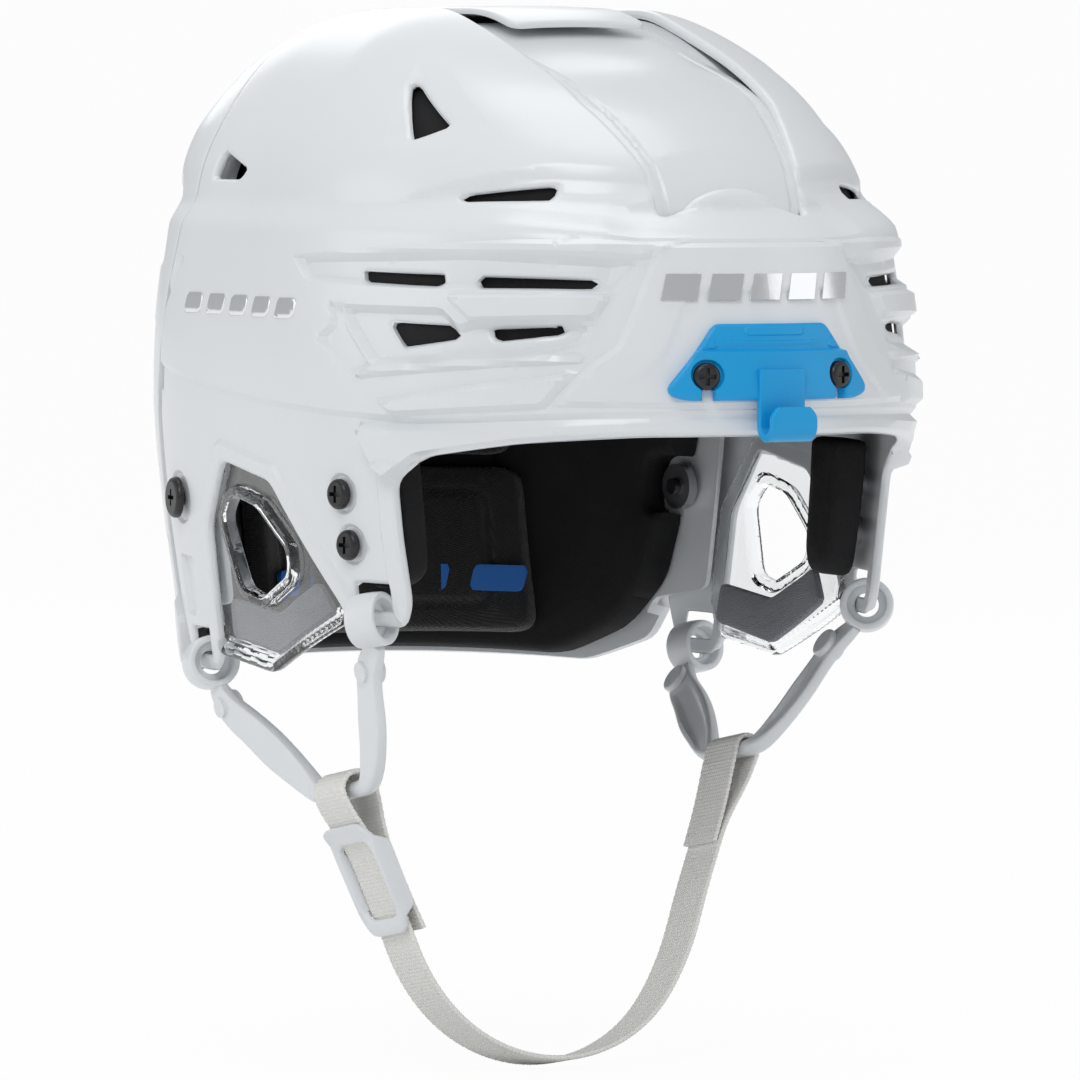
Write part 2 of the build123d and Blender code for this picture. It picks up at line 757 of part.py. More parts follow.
def strand_lines():
    """Ends, directions and bend of the strap in its plane."""
    left = bar_centre(1, left_swing)
    right = bar_centre(-1, right_swing)
    left_down = (-math.sin(math.radians(left_slope)), math.cos(math.radians(left_slope)))
    right_down = (math.sin(math.radians(right_slope)), math.cos(math.radians(right_slope)))
    left_out = (left_down[1], -left_down[0])
    right_out = (-right_down[1], right_down[0])
    first = along(left, left_down, left_out, 0, 0)
    last = along(right, right_down, right_out, 0, layer_offset)
    gap = (last[0] - first[0], last[1] - first[1])
    cross = left_down[0] * right_down[1] - left_down[1] * right_down[0]
    left_run = (gap[0] * right_down[1] - gap[1] * right_down[0]) / cross
    right_run = (gap[0] * left_down[1] - gap[1] * left_down[0]) / cross
    half_turn = math.radians(left_slope + right_slope) / 2
    trim = bend_radius / math.tan(half_turn)
    return left, right, left_down, right_down, left_out, right_out, left_run - trim, right_run - trim


def make_chin_strap():
    left, right, left_down, right_down, left_out, right_out, left_run, right_run = strand_lines()
    mid_left = bar_radius + seat_gap + webbing_wall / 2
    mid_right = bar_radius + open_play + webbing_wall / 2
    half_wall = webbing_wall / 2
    face = Pos(*left) * (Circle(mid_left + half_wall) - Circle(mid_left - half_wall))
    meet = along(left, left_down, left_out, sewn_length, 0)
    for across in (-mid_left, mid_left):
        face = face + ribbon(along(left, left_down, left_out, 0, across), meet, webbing_wall)
    face = face - Pos(*left) * Circle(mid_left - half_wall)
    left_end = along(left, left_down, left_out, left_run, 0)
    face = face + ribbon(meet, left_end, webbing_wall)
    ring = Pos(*right) * (Circle(mid_right + half_wall) - Circle(mid_right - half_wall))
    below = make_face(
        Polyline(
            along(right, right_down, right_out, 0, -3 * mid_right),
            along(right, right_down, right_out, 3 * mid_right, -3 * mid_right),
            along(right, right_down, right_out, 3 * mid_right, 3 * mid_right),
            along(right, right_down, right_out, 0, 3 * mid_right),
            close=True,
        )
    )
    face = face + (ring - below)
    layers = ((mid_right, layer_offset, right_run), (-mid_right, -layer_offset, tail_length))
    for across, target, length in layers:
        top = along(right, right_down, right_out, 0, across)
        turn = along(right, right_down, right_out, layers_meet, target)
        end = along(right, right_down, right_out, length, target)
        face = face + ribbon(top, turn, webbing_wall) + ribbon(turn, end, webbing_wall)
    right_end = along(right, right_down, right_out, right_run, layer_offset)
    inward = (-left_out[0], -left_out[1])
    centre = (left_end[0] + inward[0] * bend_radius, left_end[1] + inward[1] * bend_radius)
    band = Circle(bend_radius + half_wall) - Circle(bend_radius - half_wall)
    wedge = make_face(
        Polyline(
            centre,
            beyond(centre, left_end),
            (centre[0], centre[1] + 4 * bend_radius),
            beyond(centre, right_end),
            close=True,
        )
    )
    face = face + ((Pos(*centre) * band) & wedge)
    return extrude(strap_plane() * face, webbing_width / 2, both=True)


def make_strap_buckle():
    _, right, _, right_down, _, right_out, _, _ = strand_lines()
    main_face = layer_offset + webbing_wall / 2 + running_gap
    front = main_face + buckle_wall
    back = -buckle_mid_wall / 2
    half_length = buckle_length / 2
    inside = webbing_width / 2 + webbing_play / 2
    outside = inside + buckle_rail
    slope = math.degrees(math.atan2(right_down[1], right_down[0]))
    rails = zone(-half_length, half_length, back, front, -outside, outside)
    rails = fillet(rails.edges().filter_by(Axis.Y), buckle_rail)
    window = half_length - buckle_bar
    rails = rails - zone(-window, window, back - overrun, front + overrun, -inside, inside)
    far = half_length + overrun
    rails = rails - zone(-far, far, back - overrun, main_face, -inside, inside)
    half_mid = buckle_mid_length / 2
    rooted = inside + buckle_rail / 2
    body = rails + zone(-half_mid, half_mid, back, -back, -rooted, rooted)
    place = Pos(*along(right, right_down, right_out, buckle_centre, 0))
    return strap_plane().location * place * Rot(0, 0, slope) * body


def make_front_liner():
    foam = depth(liner_outer) - depth(liner_inner)
    foam = foam & side_prism(outline(liner_side_outline_shares))
    lap = panel_lap + running_gap
    foam = foam - (window_prism(lap, lap) - depth(panel_sink + panel_wall + seat_gap))
    for plane in clip_planes():
        foam = foam - disc_between(plane, nut_radius + 2 * running_gap, -screw_length - overrun, overrun)
    for share in liner_channel_places_shares:
        x = share * shell_half_width
        low_x = x - liner_channel_half_width
        high_x = x + liner_channel_half_width
        top = crown_height + overrun
        foam = foam - zone(low_x, high_x, -brow_reach, brow_reach, ledge_top_height, top)
    return foam


def make_temple_pad(side):
    foam = depth(temple_outer) - depth(temple_inner)
    foam = foam & one_side_prism(outline(temple_shares), side, outline_corner)
    for plane in visor_planes():
        foam = foam - disc_between(plane, nut_radius + 2 * running_gap, -screw_length - running_gap, overrun)
    return foam


def make_rear_liner():
    foam = rear_body(rear_wall + seat_gap) - rear_form(rear_liner_inner - rear_sink)
    foam = foam & side_prism(outline(rear_liner_shares), outline_corner)
    radius = adjust_nut_radius + 2 * running_gap
    for plane in adjust_planes():
        low = plane.origin - Vector(0, rear_travel, 0)
        high = plane.origin
        for place in (low, high):
            moved = Plane(place, plane.x_dir, plane.z_dir)
            foam = foam - disc_between(moved, radius, -adjust_length - overrun, overrun)
        x = plane.origin.X
        foam = foam - zone(x - overrun, x + overrun, low.Y, high.Y, low.Z - radius, low.Z + radius)
    return foam


def make_brow_pad():
    inner = liner_inner + seat_gap
    pad = depth(inner) - depth(inner + pad_thickness)
    low = brow_pad_low_share * crown_height
    high = brow_pad_high_share * crown_height
    rear = -brow_pad_rear_share * brow_reach
    return pad & rounded_zone(brow_pad_half_width, -brow_reach, rear, low, high)


def make_crown_pad():
    inner = liner_inner + seat_gap
    pad = depth(inner) - depth(inner + pad_thickness)
    low_y = -crown_pad_front_share * brow_reach
    high_y = crown_pad_back_share * back_reach
    face = RectangleRounded(2 * crown_pad_half_width, high_y - low_y, pad_corner)
    block = Pos(0, (low_y + high_y) / 2, crown_pad_low_share * crown_height) * extrude(face, crown_height)
    return pad & block


def make_side_pad(side):
    inner = liner_inner + seat_gap
    pad = depth(inner) - depth(inner + pad_thickness)
    return pad & one_side_prism(outline(side_pad_shares), side, pad_corner)


def make_rear_pad():
    inner = rear_liner_inner - rear_sink + seat_gap
    pad = rear_form(inner) - rear_form(inner + pad_thickness)
    low = -rear_pad_low_share * skirt_depth
    high = rear_pad_high_share * crown_height
    near = back_zone_share * back_reach
    return pad & rounded_zone(rear_pad_half_width, near, back_reach, low, high)


def make_occipital_pad():
    inner = rear_liner_inner - rear_sink + seat_gap
    pad = rear_form(inner) - rear_form(inner + occipital_thickness)
    low = -occipital_low_share * skirt_depth
    high = -occipital_high_share * skirt_depth
    near = back_zone_share * back_reach
    return pad & rounded_zone(occipital_half_width, near, back_reach, low, high)


def make_trim():
    half = trim_half_width_share * shell_half_width
    pitch = 2 * half / trim_count
    low = trim_low_share * crown_height
    high = trim_high_share * crown_height
    slant = trim_slant_share * (high - low)
    outer = form(-trim_proud, -trim_proud, 0, 0) - depth(0)
    bars = []
    for index in range(trim_count):
        start = index * pitch - half
        end = start + pitch * (1 - trim_gap_share)
        points = ((start, low), (end, low), (end + slant, high), (start + slant, high))
        face = Plane.XZ * make_face(Polyline(*points, close=True))
        bars.append(outer & extrude(face, brow_reach + overrun))
    return bars


def solids_of(shapes):
    """All solids of one shape or a list of shapes, as one group."""
    found = []
    for shape in shapes if isinstance(shapes, list) else [shapes]:
        found.extend(shape.solids())
    return found[0] if len(found) == 1 else Compound(children=found)


def make_parts():
    seat_nut = shell_wall - spot_depth + thread_gap
    seat_head = thread_gap - spot_depth
    seat_clip = clip_seat + thread_gap
    adjust_face = rear_sink + rear_wall + adjust_nut_gap
    adjust = adjust_planes()
    visor = visor_planes()
    clip = clip_planes()
    return {
        "front_shell": make_front_shell(),
        "crown_panel": make_crown_panel(),
        "rear_shell": make_rear_shell(),
        "adjust_screws": [screw(p, seat_head, adjust_head_radius, adjust_length) for p in adjust],
        "adjust_nuts": [nut(p, adjust_face, adjust_nut_radius) for p in adjust],
        "visor_screws": [screw(p, seat_head, screw_head_radius, screw_length) for p in visor],
        "visor_nuts": [nut(p, seat_nut, nut_radius) for p in visor],
        "cage_hook": make_cage_hook(),
        "clip_screws": [screw(p, seat_clip, clip_head_radius, clip_screw_length) for p in clip],
        "clip_nuts": [nut(p, seat_nut, nut_radius) for p in clip],
        "brow_trim": make_trim(),
        "ear_guard_right": make_ear_guard(-1),
        "ear_guard_left": make_ear_guard(1),
        "ear_pad_right": make_ear_pad(-1),
        "ear_pad_left": make_ear_pad(1),
        "ear_loop_right": make_ear_loop(-1, right_swing),
        "ear_loop_left": make_ear_loop(1, left_swing),
        "loop_studs_right": make_loop_studs(-1, right_swing),
        "loop_studs_left": make_loop_studs(1, left_swing),
        "chin_strap": make_chin_strap(),
        "strap_buckle": make_strap_buckle(),
        "front_liner": make_front_liner(),
        "temple_pad_right": make_temple_pad(-1),
        "temple_pad_left": make_temple_pad(1),
        "rear_liner": make_rear_liner(),
        "brow_pad": make_brow_pad(),
        "crown_pad": make_crown_pad(),
        "side_pad_right": make_side_pad(-1),
        "side_pad_left": make_side_pad(1),
        "rear_pad": make_rear_pad(),
        "occipital_pad": make_occipital_pad(),
    }


def write_parts():
    os.makedirs("parts", exist_ok=True)
    for name, shapes in make_parts().items():
        export_step(solids_of(shapes), f"parts/{name}.step")


write_parts()
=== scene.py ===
import math

import bpy
import numpy as np
from mathutils import Matrix, Vector


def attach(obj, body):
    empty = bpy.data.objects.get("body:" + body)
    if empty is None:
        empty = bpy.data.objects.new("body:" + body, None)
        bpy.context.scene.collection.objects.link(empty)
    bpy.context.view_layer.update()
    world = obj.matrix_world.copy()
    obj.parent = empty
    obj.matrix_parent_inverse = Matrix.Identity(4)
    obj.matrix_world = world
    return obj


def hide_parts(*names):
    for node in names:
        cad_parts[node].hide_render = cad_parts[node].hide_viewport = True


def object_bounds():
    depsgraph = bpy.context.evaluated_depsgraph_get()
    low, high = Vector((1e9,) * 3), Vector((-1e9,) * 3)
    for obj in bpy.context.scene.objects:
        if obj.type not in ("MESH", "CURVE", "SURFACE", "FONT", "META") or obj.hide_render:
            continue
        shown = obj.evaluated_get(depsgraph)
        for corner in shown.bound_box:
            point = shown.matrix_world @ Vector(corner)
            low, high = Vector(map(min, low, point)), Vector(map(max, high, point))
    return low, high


bl_info = {
    "name": "Ice hockey helmet",
    "version": (1, 0, 0),
    "blender": (4, 5, 0),
    "location": "View3D > Sidebar > Helmet",
    "description": "Builds the skins, foam, webbing and finishes of an ice hockey helmet",
    "category": "Object",
}

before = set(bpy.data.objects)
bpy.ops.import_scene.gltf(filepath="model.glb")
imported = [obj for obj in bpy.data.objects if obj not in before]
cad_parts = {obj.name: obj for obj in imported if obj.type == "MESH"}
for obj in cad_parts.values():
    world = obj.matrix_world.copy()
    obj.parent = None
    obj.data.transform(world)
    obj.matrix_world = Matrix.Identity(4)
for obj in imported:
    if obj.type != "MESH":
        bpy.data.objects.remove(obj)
cad_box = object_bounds()

# All tables are in millimetres and are the helmet's own sizes.
MM = 0.001
SIDES = ((-1, "right"), (1, "left"))
SHELL_HALF_WIDTH = 96
BROW_REACH = 148
BACK_REACH = 133.5
CROWN_HEIGHT = 124
SKIRT_DEPTH = 100
LEDGE_FOOT = 59
LEDGE_TOP = 66
DOME_HALF_WIDTH = 88
DOME_FRONT = 125
DOME_BACK = 127
FRONT_CENTRE = 0.104
BACK_CENTRE = 0.417
DROP_SHARE = 0.7
ELLIPSE_WEIGHT = 0.7071
POLE_HEIGHT = 1.012
# Shares of height, half width, front reach and back reach; the dome's rows end in its rear fullness
BAND = (
    (0, 0.875, 0.92, 0.885), (0.25, 0.932, 0.953, 0.944), (0.47, 0.974, 0.98, 0.98), (0.68, 1, 1, 1),
    (0.85, 0.99, 0.973, 0.996), (1, 0.958, 0.936, 0.975),
)
DOME = (
    (0, 1, 1, 1, ELLIPSE_WEIGHT), (0.17, 0.972, 0.968, 0.953, 0.93), (0.38, 0.909, 0.872, 0.882, 1.13),
    (0.53, 0.847, 0.78, 0.811, 1.2), (0.74, 0.739, 0.56, 0.693, 1.2), (0.87, 0.636, 0.36, 0.567, 1.2),
    (0.95, 0.523, 0.224, 0.433, 1.2), (1, 0.284, 0.1, 0.252, 1.2),
)

SHELL_WALL = 3
REAR_SINK = 6.5
REAR_FLUSH_SINK = 0.6
REAR_WALL = 2.8
PANEL_SINK = 5.7
PANEL_FRONT_SINK = 0.4
PANEL_WALL = 2.2
TONGUE_WALL = 1.9
GUARD_SINK = SHELL_WALL + 0.25
EAR_PAD_SINK = SHELL_WALL + 2.55
REAR_LINER_SINK = REAR_WALL + 0.3
HELMET_PAD_SINK = 17.3
REAR_PAD_SINK = 14.8
FAR = 60
NEAR = 12
SHARP_SHELL = 30
SHARP_SMALL = 38
SHARP_SOFT = 50

# Side view outlines, as (y, z)
SHELL_OUTLINE = (
    (-170.2, 1.5), (-137, 0.9), (-111, -1.7), (-82.9, -6.4), (-71.9, -14), (-71.8, -30), (-73, -50),
    (-69.6, -57), (-47.1, -57), (-44.4, -51.5), (-11.8, -16.7), (18.6, -11.6), (31.2, -31.4),
    (31.2, -70), (36, -76), (54.1, -76), (61.9, -60), (65.9, -30), (65.9, 0), (57.9, 35), (50.1, 66),
    (48.1, 140.1), (-170.2, 140.1),
)
FACE_EDGE = ((-170, 1.5), *SHELL_OUTLINE[1:7])
EAR_EDGE = SHELL_OUTLINE[9:14]
VENTS = (
    ((-55.7, 47.2), (-86.4, 46.8), (-86.6, 43.3), (-57.5, 44)),
    ((-96.7, 46.4), (-124.5, 46.1), (-124.7, 43.5), (-97.5, 43)),
    ((-68.8, 32.7), (-90.6, 32.2), (-94.3, 28.5), (-82.2, 26.5), (-74.9, 25.4)),
    ((-102, 31.3), (-120.9, 32.6), (-119.9, 30.3), (-104.5, 27.9)),
    ((-81.4, 69.5), (-103.6, 73), (-103.6, 68.5), (-82.1, 67.7)),
    ((-42.9, 101.7), (-45.1, 102), (-66.6, 89.9), (-57.7, 85.6)),
    ((38, 80.6), (19.2, 75.1), (22.7, 72.4), (39.8, 72.2)),
)
HOOP_SLOTS = (
    ((-66.1, -52.4), (-50.9, -52.4), (-50.9, -44.3), (-66.1, -44.3)),
    ((37.4, -71.4), (52.6, -71.4), (52.6, -63.3), (37.4, -63.3)),
)
RIM_BAND = (
    (-170, 9), (-139, 7.2), (-116, 5.4), (-81, 3.4), (-58, 3), (-66, -10), *SHELL_OUTLINE[4:0:-1],
    (-170, 0.9),
)
# Relief of the front shell's sides: outline, corner radius, height, and run of the slope
FRONT_RELIEF = (
    # upper trough, lower trough and the pocket behind it
    (((-22.8, 51.2), (-94, 53.2), (-131.3, 51.8), (-128, 42), (-85.7, 42.2), (-32.6, 43.3)), 1.5, -2.4, 2.2),
    (((-49.3, 37.4), (-88.7, 37.1), (-94.7, 32), (-98.1, 33.6), (-126.4, 33.9), (-125.2, 27),
      (-118.7, 24.5), (-64.7, 19.7), (-53.1, 31.8)), 1.5, -2.8, 2.2),
    (((-43.6, 38.6), (-51, 37), (-53.1, 31.8), (-64.7, 19.7), (-55, 16), (-40, 27), (-46.5, 31.5)),
     1.5, -1.6, 1.8),
    # two ridges and the bare field between the vents
    (((-55.5, 15.4), (-125.4, 21.9), (-125.5, 25), (-64.7, 20.2)), 1, 1.8, 1.4),
    (((-74, 5.2), (-118.6, 8.7), (-125.2, 20), (-115.6, 17.8), (-88.7, 13.6), (-66, 10.2)), 1.5, 2, 1.8),
    (((-88.7, 40.7), (-128, 41.8), (-126.4, 34.2), (-98.1, 32.9)), 1, 2, 1.4),
    # lower half of the sides, and the bar under the ledge
    (((72, 19), (58, 16.6), (30, 12.4), (3.3, 9.4), (-45.6, 6.5), (-84.6, 5.4), (-118.7, 7.5),
      (-150, 9), (-150, -40), (-60, -120), (72, -120)), 3, -1.2, 2),
    (((-136, 58), (-101, 56.4), (-51, 53.4), (-28, 51.8), (-22.8, 51.2), (-94, 53.2), (-131.3, 51.8)),
     1, 1.4, 1.6),
    # dishes round the slit and the triangle, rear lobe's slot and recess
    (((-70, 71), (-100, 79), (-124, 77), (-118, 66.5), (-60, 66)), 3, -1.4, 4),
    (((-38, 108), (-50, 106), (-78, 90), (-70, 82), (-50, 82)), 3, -0.8, 5),
    (((44, -42), (57, -41), (55, -60), (47, -60)), 2, -1.6, 1.2),
    (((45.3, 48.9), (51, 49.5), (66, 22), (66, 8), (60, 8), (58.4, 30)), 1, -1.8, 1.6),
)
# Screw seats of the front shell: centre, radius, height and run
SCREW_SEATS = (
    ((-49.58, -18.3), 6.2, -0.7, 0.9), ((-51.8, -33.1), 6.2, -0.7, 0.9), ((50.46, -24), 8.2, -0.8, 1),
)
REAR_OUTLINE = (
    (30, 140.1), (30, 89.3), (44.1, 86.8), (44.1, 67), (30, 64.5), (30, 20), (33.4, -5), (33.4, -56),
    (61.4, -60), (66.8, -72), (86.8, -80), (153.5, -76), (153.5, 140.1),
)
REAR_STEP = (
    (55.6, -140), (55.6, -76), (63.4, -60), (67.4, -30), (67.4, 0), (59.4, 35), (51.6, 66),
    (49.6, 140.1), (170, 140.1), (170, -140),
)
REAR_LIP = ((61, -60), (66.8, -72), (86.8, -80), (150, -76))
REAR_VENTS = (
    ((73.4, 62), (104.1, 52.1), (106.8, 44.6), (74.8, 52.1)),
    ((80.1, 22.3), (112.1, 14.9), (112.1, 6.2), (81.4, 11.2)),
    ((69.4, -36), (82.8, -38), (82.8, -60), (73.4, -58)),
)
GUARD = (
    (-46.6, -47.5), (-13.3, -11), (20, -6.8), (37, -30), (37, -63), (31.4, -70), (-1.9, -73.5),
    (-45.1, -56),
)
EAR_HOLE = (
    (14.7, -21.3), (-1.6, -24.3), (-18.2, -36.2), (-17.5, -43.4), (0.7, -51.5), (12.7, -49),
    (21.4, -28.5),
)
EAR_PAD = ((27.9, -53), (-3, -56), (-28.1, -45), (-36.3, -55), (-5.9, -69.5), (28.8, -65))
TEMPLE_PAD = (
    (-66, -5), (-66, -30), (-65, -42), (-60, -46), (-49.5, -46), (-44.5, -40), (-40, -5),
)
SIDE_PAD = ((-62.2, 7.4), (10.7, 5), (8, 49.6), (-56.2, 44.6))
FRONT_LINER = ((-170, 4), (-89, 1), (-59, -3), (16, -3), (16, 140), (-170, 140))
REAR_LINER = (
    (34.7, 140), (34.7, 22), (44, -2), (53.4, -53), (66, -68), (86, -78), (153, -74.5), (153, 140),
)

# Front view outlines, as (x, z)
PLATE = (
    (30.8, 57), (43.6, 27.1), (50.7, 21.4), (58.9, 9.3), (-58.9, 9.3), (-50.7, 21.4), (-43.6, 27.1),
    (-30.8, 57),
)
PLATE_INNER = ((24, 44), (32.7, 24.4), (49.1, 9.4), (-49.1, 9.4), (-32.7, 24.4), (-24, 44))
CLIP = (
    (18, 33.4), (24, 25.2), (32, 15.2), (31.2, 12.8), (27, 11.6), (-27, 11.6), (-31.2, 12.8),
    (-32, 15.2), (-24, 25.2), (-18, 33.4),
)
CLIP_SCREW = 21.2
HOOK = (-153.64, 4.59)

# Outlines from above, as (x, y)
WINDOW = (
    (24.2, -122.8), (25.2, -114.7), (31.7, -89.5), (33.1, -60.7), (33.1, 82.8), (-33.1, 82.8),
    (-33.1, -60.7), (-31.7, -89.5), (-25.2, -114.7), (-24.2, -122.8),
)
TONGUE = ((-23, -28.5), (-21, -31), (21, -31), (23, -28.5), (23, 62), (-23, 62))


def spline(places, values, at):
    """Smooth curve through the rows of a table."""
    x = np.asarray(places, float)
    y = np.asarray(values, float)
    gaps = np.diff(x)
    slopes = np.diff(y) / gaps
    system = np.eye(len(x))
    right = np.zeros(len(x))
    for i in range(1, len(x) - 1):
        system[i, i - 1:i + 2] = gaps[i - 1], 2 * (gaps[i - 1] + gaps[i]), gaps[i]
        right[i] = 6 * (slopes[i] - slopes[i - 1])
    bend = np.linalg.solve(system, right)
    k = np.clip(np.searchsorted(x, at) - 1, 0, len(x) - 2)
    a = (x[k + 1] - at) / gaps[k]
    b = (at - x[k]) / gaps[k]
    curve = (a**3 - a) * bend[k] + (b**3 - b) * bend[k + 1]
    return a * y[k] + b * y[k + 1] + curve * gaps[k] ** 2 / 6


def resample(rows, spacing):
    """Rows of a profile at even steps along it."""
    steps = np.hypot(np.diff(rows[:, 0]), np.abs(np.diff(rows[:, 1:4], axis=0)).mean(axis=1))
    length = np.concatenate([[0], np.cumsum(steps)])
    at = np.linspace(0, length[-1], max(int(length[-1] / spacing), 8) + 1)
    return np.stack([np.interp(at, length, column) for column in rows.T], axis=1)


def soften(rows, reach):
    """Rounds the corners of an evenly stepped profile."""
    width = int(3 * reach)
    weights = np.exp(-0.5 * (np.arange(-width, width + 1) / reach) ** 2)
    weights /= weights.sum()
    before = 2 * rows[0] - rows[width:0:-1]
    after = 2 * rows[-1] - rows[-2:-width - 2:-1]
    padded = np.concatenate([before, rows, after])
    return np.stack([np.convolve(column, weights, "valid") for column in padded.T], axis=1)


def form_rows(side, front, back, top, spacing):
    """Height, half width, front reach, back reach and rear fullness of the form, moved inward."""
    drop = DROP_SHARE * top
    at = np.linspace(0, 1, 120)
    heights, widths, fronts, backs = zip(*BAND)
    band = np.stack([
        at * (SKIRT_DEPTH + LEDGE_FOOT - drop) - SKIRT_DEPTH,
        SHELL_HALF_WIDTH * spline(heights, widths, at) - side,
        BROW_REACH * spline(heights, fronts, at) - front,
        BACK_REACH * spline(heights, backs, at) - back,
        0 * at + ELLIPSE_WEIGHT,
    ], axis=1)
    base = LEDGE_TOP - drop
    heights, *shares, weights = zip(*DOME)
    heights = heights + (POLE_HEIGHT,) + heights[::-1]
    widths, fronts, backs = (up + (0,) + tuple(-share for share in up[::-1]) for up in shares)
    steps = np.hypot(np.diff(heights), np.diff(np.array(widths) * 1.6))
    places = np.concatenate([[0], np.cumsum(steps)])
    at = np.linspace(0, places[len(DOME)], 160)
    dome = np.stack([
        base + (CROWN_HEIGHT - top - base) * spline(places, heights, at),
        (DOME_HALF_WIDTH - side) * spline(places, widths, at),
        (DOME_FRONT - front) * spline(places, fronts, at),
        (DOME_BACK - back) * spline(places, backs, at),
        np.interp(at, places[:len(DOME)], weights),
    ], axis=1)
    rows = soften(resample(np.concatenate([band, dome]), 0.8), 1.1)
    rows = resample(rows, spacing)
    rows[-1, 1:4] = 0
    return rows


def form_grid(side, front, back, top, spacing):
    """Points and outward normals of the form: rows from the skirt up, columns round the head."""
    rows = form_rows(side, front, back, top, spacing)
    z, w, f, b, weight = (column[:, None] for column in rows.T)
    front_y = -FRONT_CENTRE * w
    back_y = BACK_CENTRE * w
    turn = np.linspace(0, math.pi / 2, max(int(165 / spacing), 12) + 1)[None, :]
    run = np.linspace(0, 1, max(int(50 / spacing), 4) + 2)[None, 1:-1]
    bend = np.linspace(0, 1, max(int(150 / spacing), 12) + 1)[None, :]
    first = (1 - bend) ** 2
    middle = 2 * weight * bend * (1 - bend)
    last = bend**2
    total = first + middle + last
    x = np.concatenate([w * np.sin(turn), w + 0 * run, w * (first + middle) / total], axis=1)
    y = np.concatenate([
        front_y - (f + front_y) * np.cos(turn),
        front_y + (back_y - front_y) * run,
        back_y + (b - back_y) * (middle + last) / total,
    ], axis=1)
    x = np.concatenate([x, -x[:, -2:0:-1]], axis=1)
    y = np.concatenate([y, y[:, -2:0:-1]], axis=1)
    points = np.stack([x, y, z + 0 * x], axis=2)
    along = np.roll(points, -1, axis=1) - np.roll(points, 1, axis=1)
    normals = np.cross(along, np.gradient(points, axis=0))
    normals /= np.maximum(np.linalg.norm(normals, axis=2, keepdims=True), 1e-9)
    normals[-1] = (0, 0, 1)
    return points, normals


def rounded(points, radius):
    """Closed outline with round corners; a corner takes less where its sides are short."""
    points = np.asarray(points, float)
    made = []
    for start, corner, end in zip(np.roll(points, 1, axis=0), points, np.roll(points, -1, axis=0)):
        first, last = (
            corner + way * min(0.45, radius / np.hypot(*way)) for way in (start - corner, end - corner)
        )
        for t in np.linspace(0, 1, 5):
            made.append((1 - t) ** 2 * first + 2 * t * (1 - t) * corner + t**2 * last)
    return np.array(made)


VIEWS = {"side": (1, 2), "front": (0, 2), "above": (0, 1)}


def to_segments(flat, starts, ends):
    """Least distance from flat points to segments."""
    best = np.full(len(flat), np.inf)
    for a, b in zip(starts, ends):
        run = b - a
        t = np.clip(((flat - a) @ run) / max(run @ run, 1e-12), 0, 1)
        gap = flat - (a + t[:, None] * run)
        best = np.minimum(best, np.einsum("ij,ij->i", gap, gap))
    return np.sqrt(best)


class Outline:
    """Closed outline in one view; its value is the distance inward from its line."""

    def __init__(self, view, points, radius, where=None):
        self.axes = VIEWS[view]
        self.points = rounded(points, radius)
        self.where = where

    def __call__(self, points):
        flat = points[:, self.axes]
        low = self.points.min(axis=0) - NEAR
        high = self.points.max(axis=0) + NEAR
        near = ((flat > low) & (flat < high)).all(axis=1)
        if self.where is not None:
            near &= self.where(points)
        value = np.full(len(points), -float(NEAR))
        if not near.any():
            return value
        spot = flat[near]
        ends = np.roll(self.points, -1, axis=0)
        gap = to_segments(spot, self.points, ends)
        inside = np.zeros(len(spot), bool)
        for (x1, y1), (x2, y2) in zip(self.points, ends):
            if y1 == y2:
                continue
            crosses = (spot[:, 1] >= min(y1, y2)) & (spot[:, 1] < max(y1, y2))
            at = x1 + (spot[:, 1] - y1) * (x2 - x1) / (y2 - y1)
            inside ^= crosses & (at > spot[:, 0])
        value[near] = np.where(inside, gap, -gap)
        return value


def line(view, points, where=None):
    """Open line in one view; its value is minus the distance from it."""
    points = np.asarray(points, float)

    def measure(places):
        value = -to_segments(places[:, VIEWS[view]], points[:-1], points[1:])
        return value if where is None else np.where(where(places), value, -FAR)
    return measure


def disc(view, centre, radius, where=None):
    """Round spot in one view; its value is the distance inward from its edge."""
    def measure(points):
        value = radius - np.hypot(*(points[:, VIEWS[view]] - centre).T)
        return value if where is None else np.where(where(points), value, -FAR)
    return measure


def in_front(points):
    return points[:, 1] < -40


def at_back(points):
    return points[:, 1] > 20


def on_dome(points):
    return points[:, 2] > 50


def one_side(side):
    return lambda points: points[:, 0] * side > 20


def outside(measure):
    """The same line, with its value counted outward."""
    return lambda points: -measure(points)


def least(*measures):
    """The least of several measures."""
    return lambda points: np.minimum.reduce([measure(points) for measure in measures])


def box(low, high):
    """Corners of an upright rectangle."""
    return (low, (high[0], low[1]), high, (low[0], high[1]))


def ramp(value, low, high):
    """Straight climb from 0 at low to 1 at high."""
    return np.clip((value - low) / (high - low), 0, 1)


def rise(value, low, high):
    """Smooth climb from 0 at low to 1 at high."""
    t = ramp(value, low, high)
    return t * t * (3 - 2 * t)


def edge_round(value, radius):
    """How far a face falls away near its edge, so that the edge is round."""
    t = np.clip(value, 0, radius)
    return radius - np.sqrt(np.maximum(radius**2 - (radius - t) ** 2, 0))


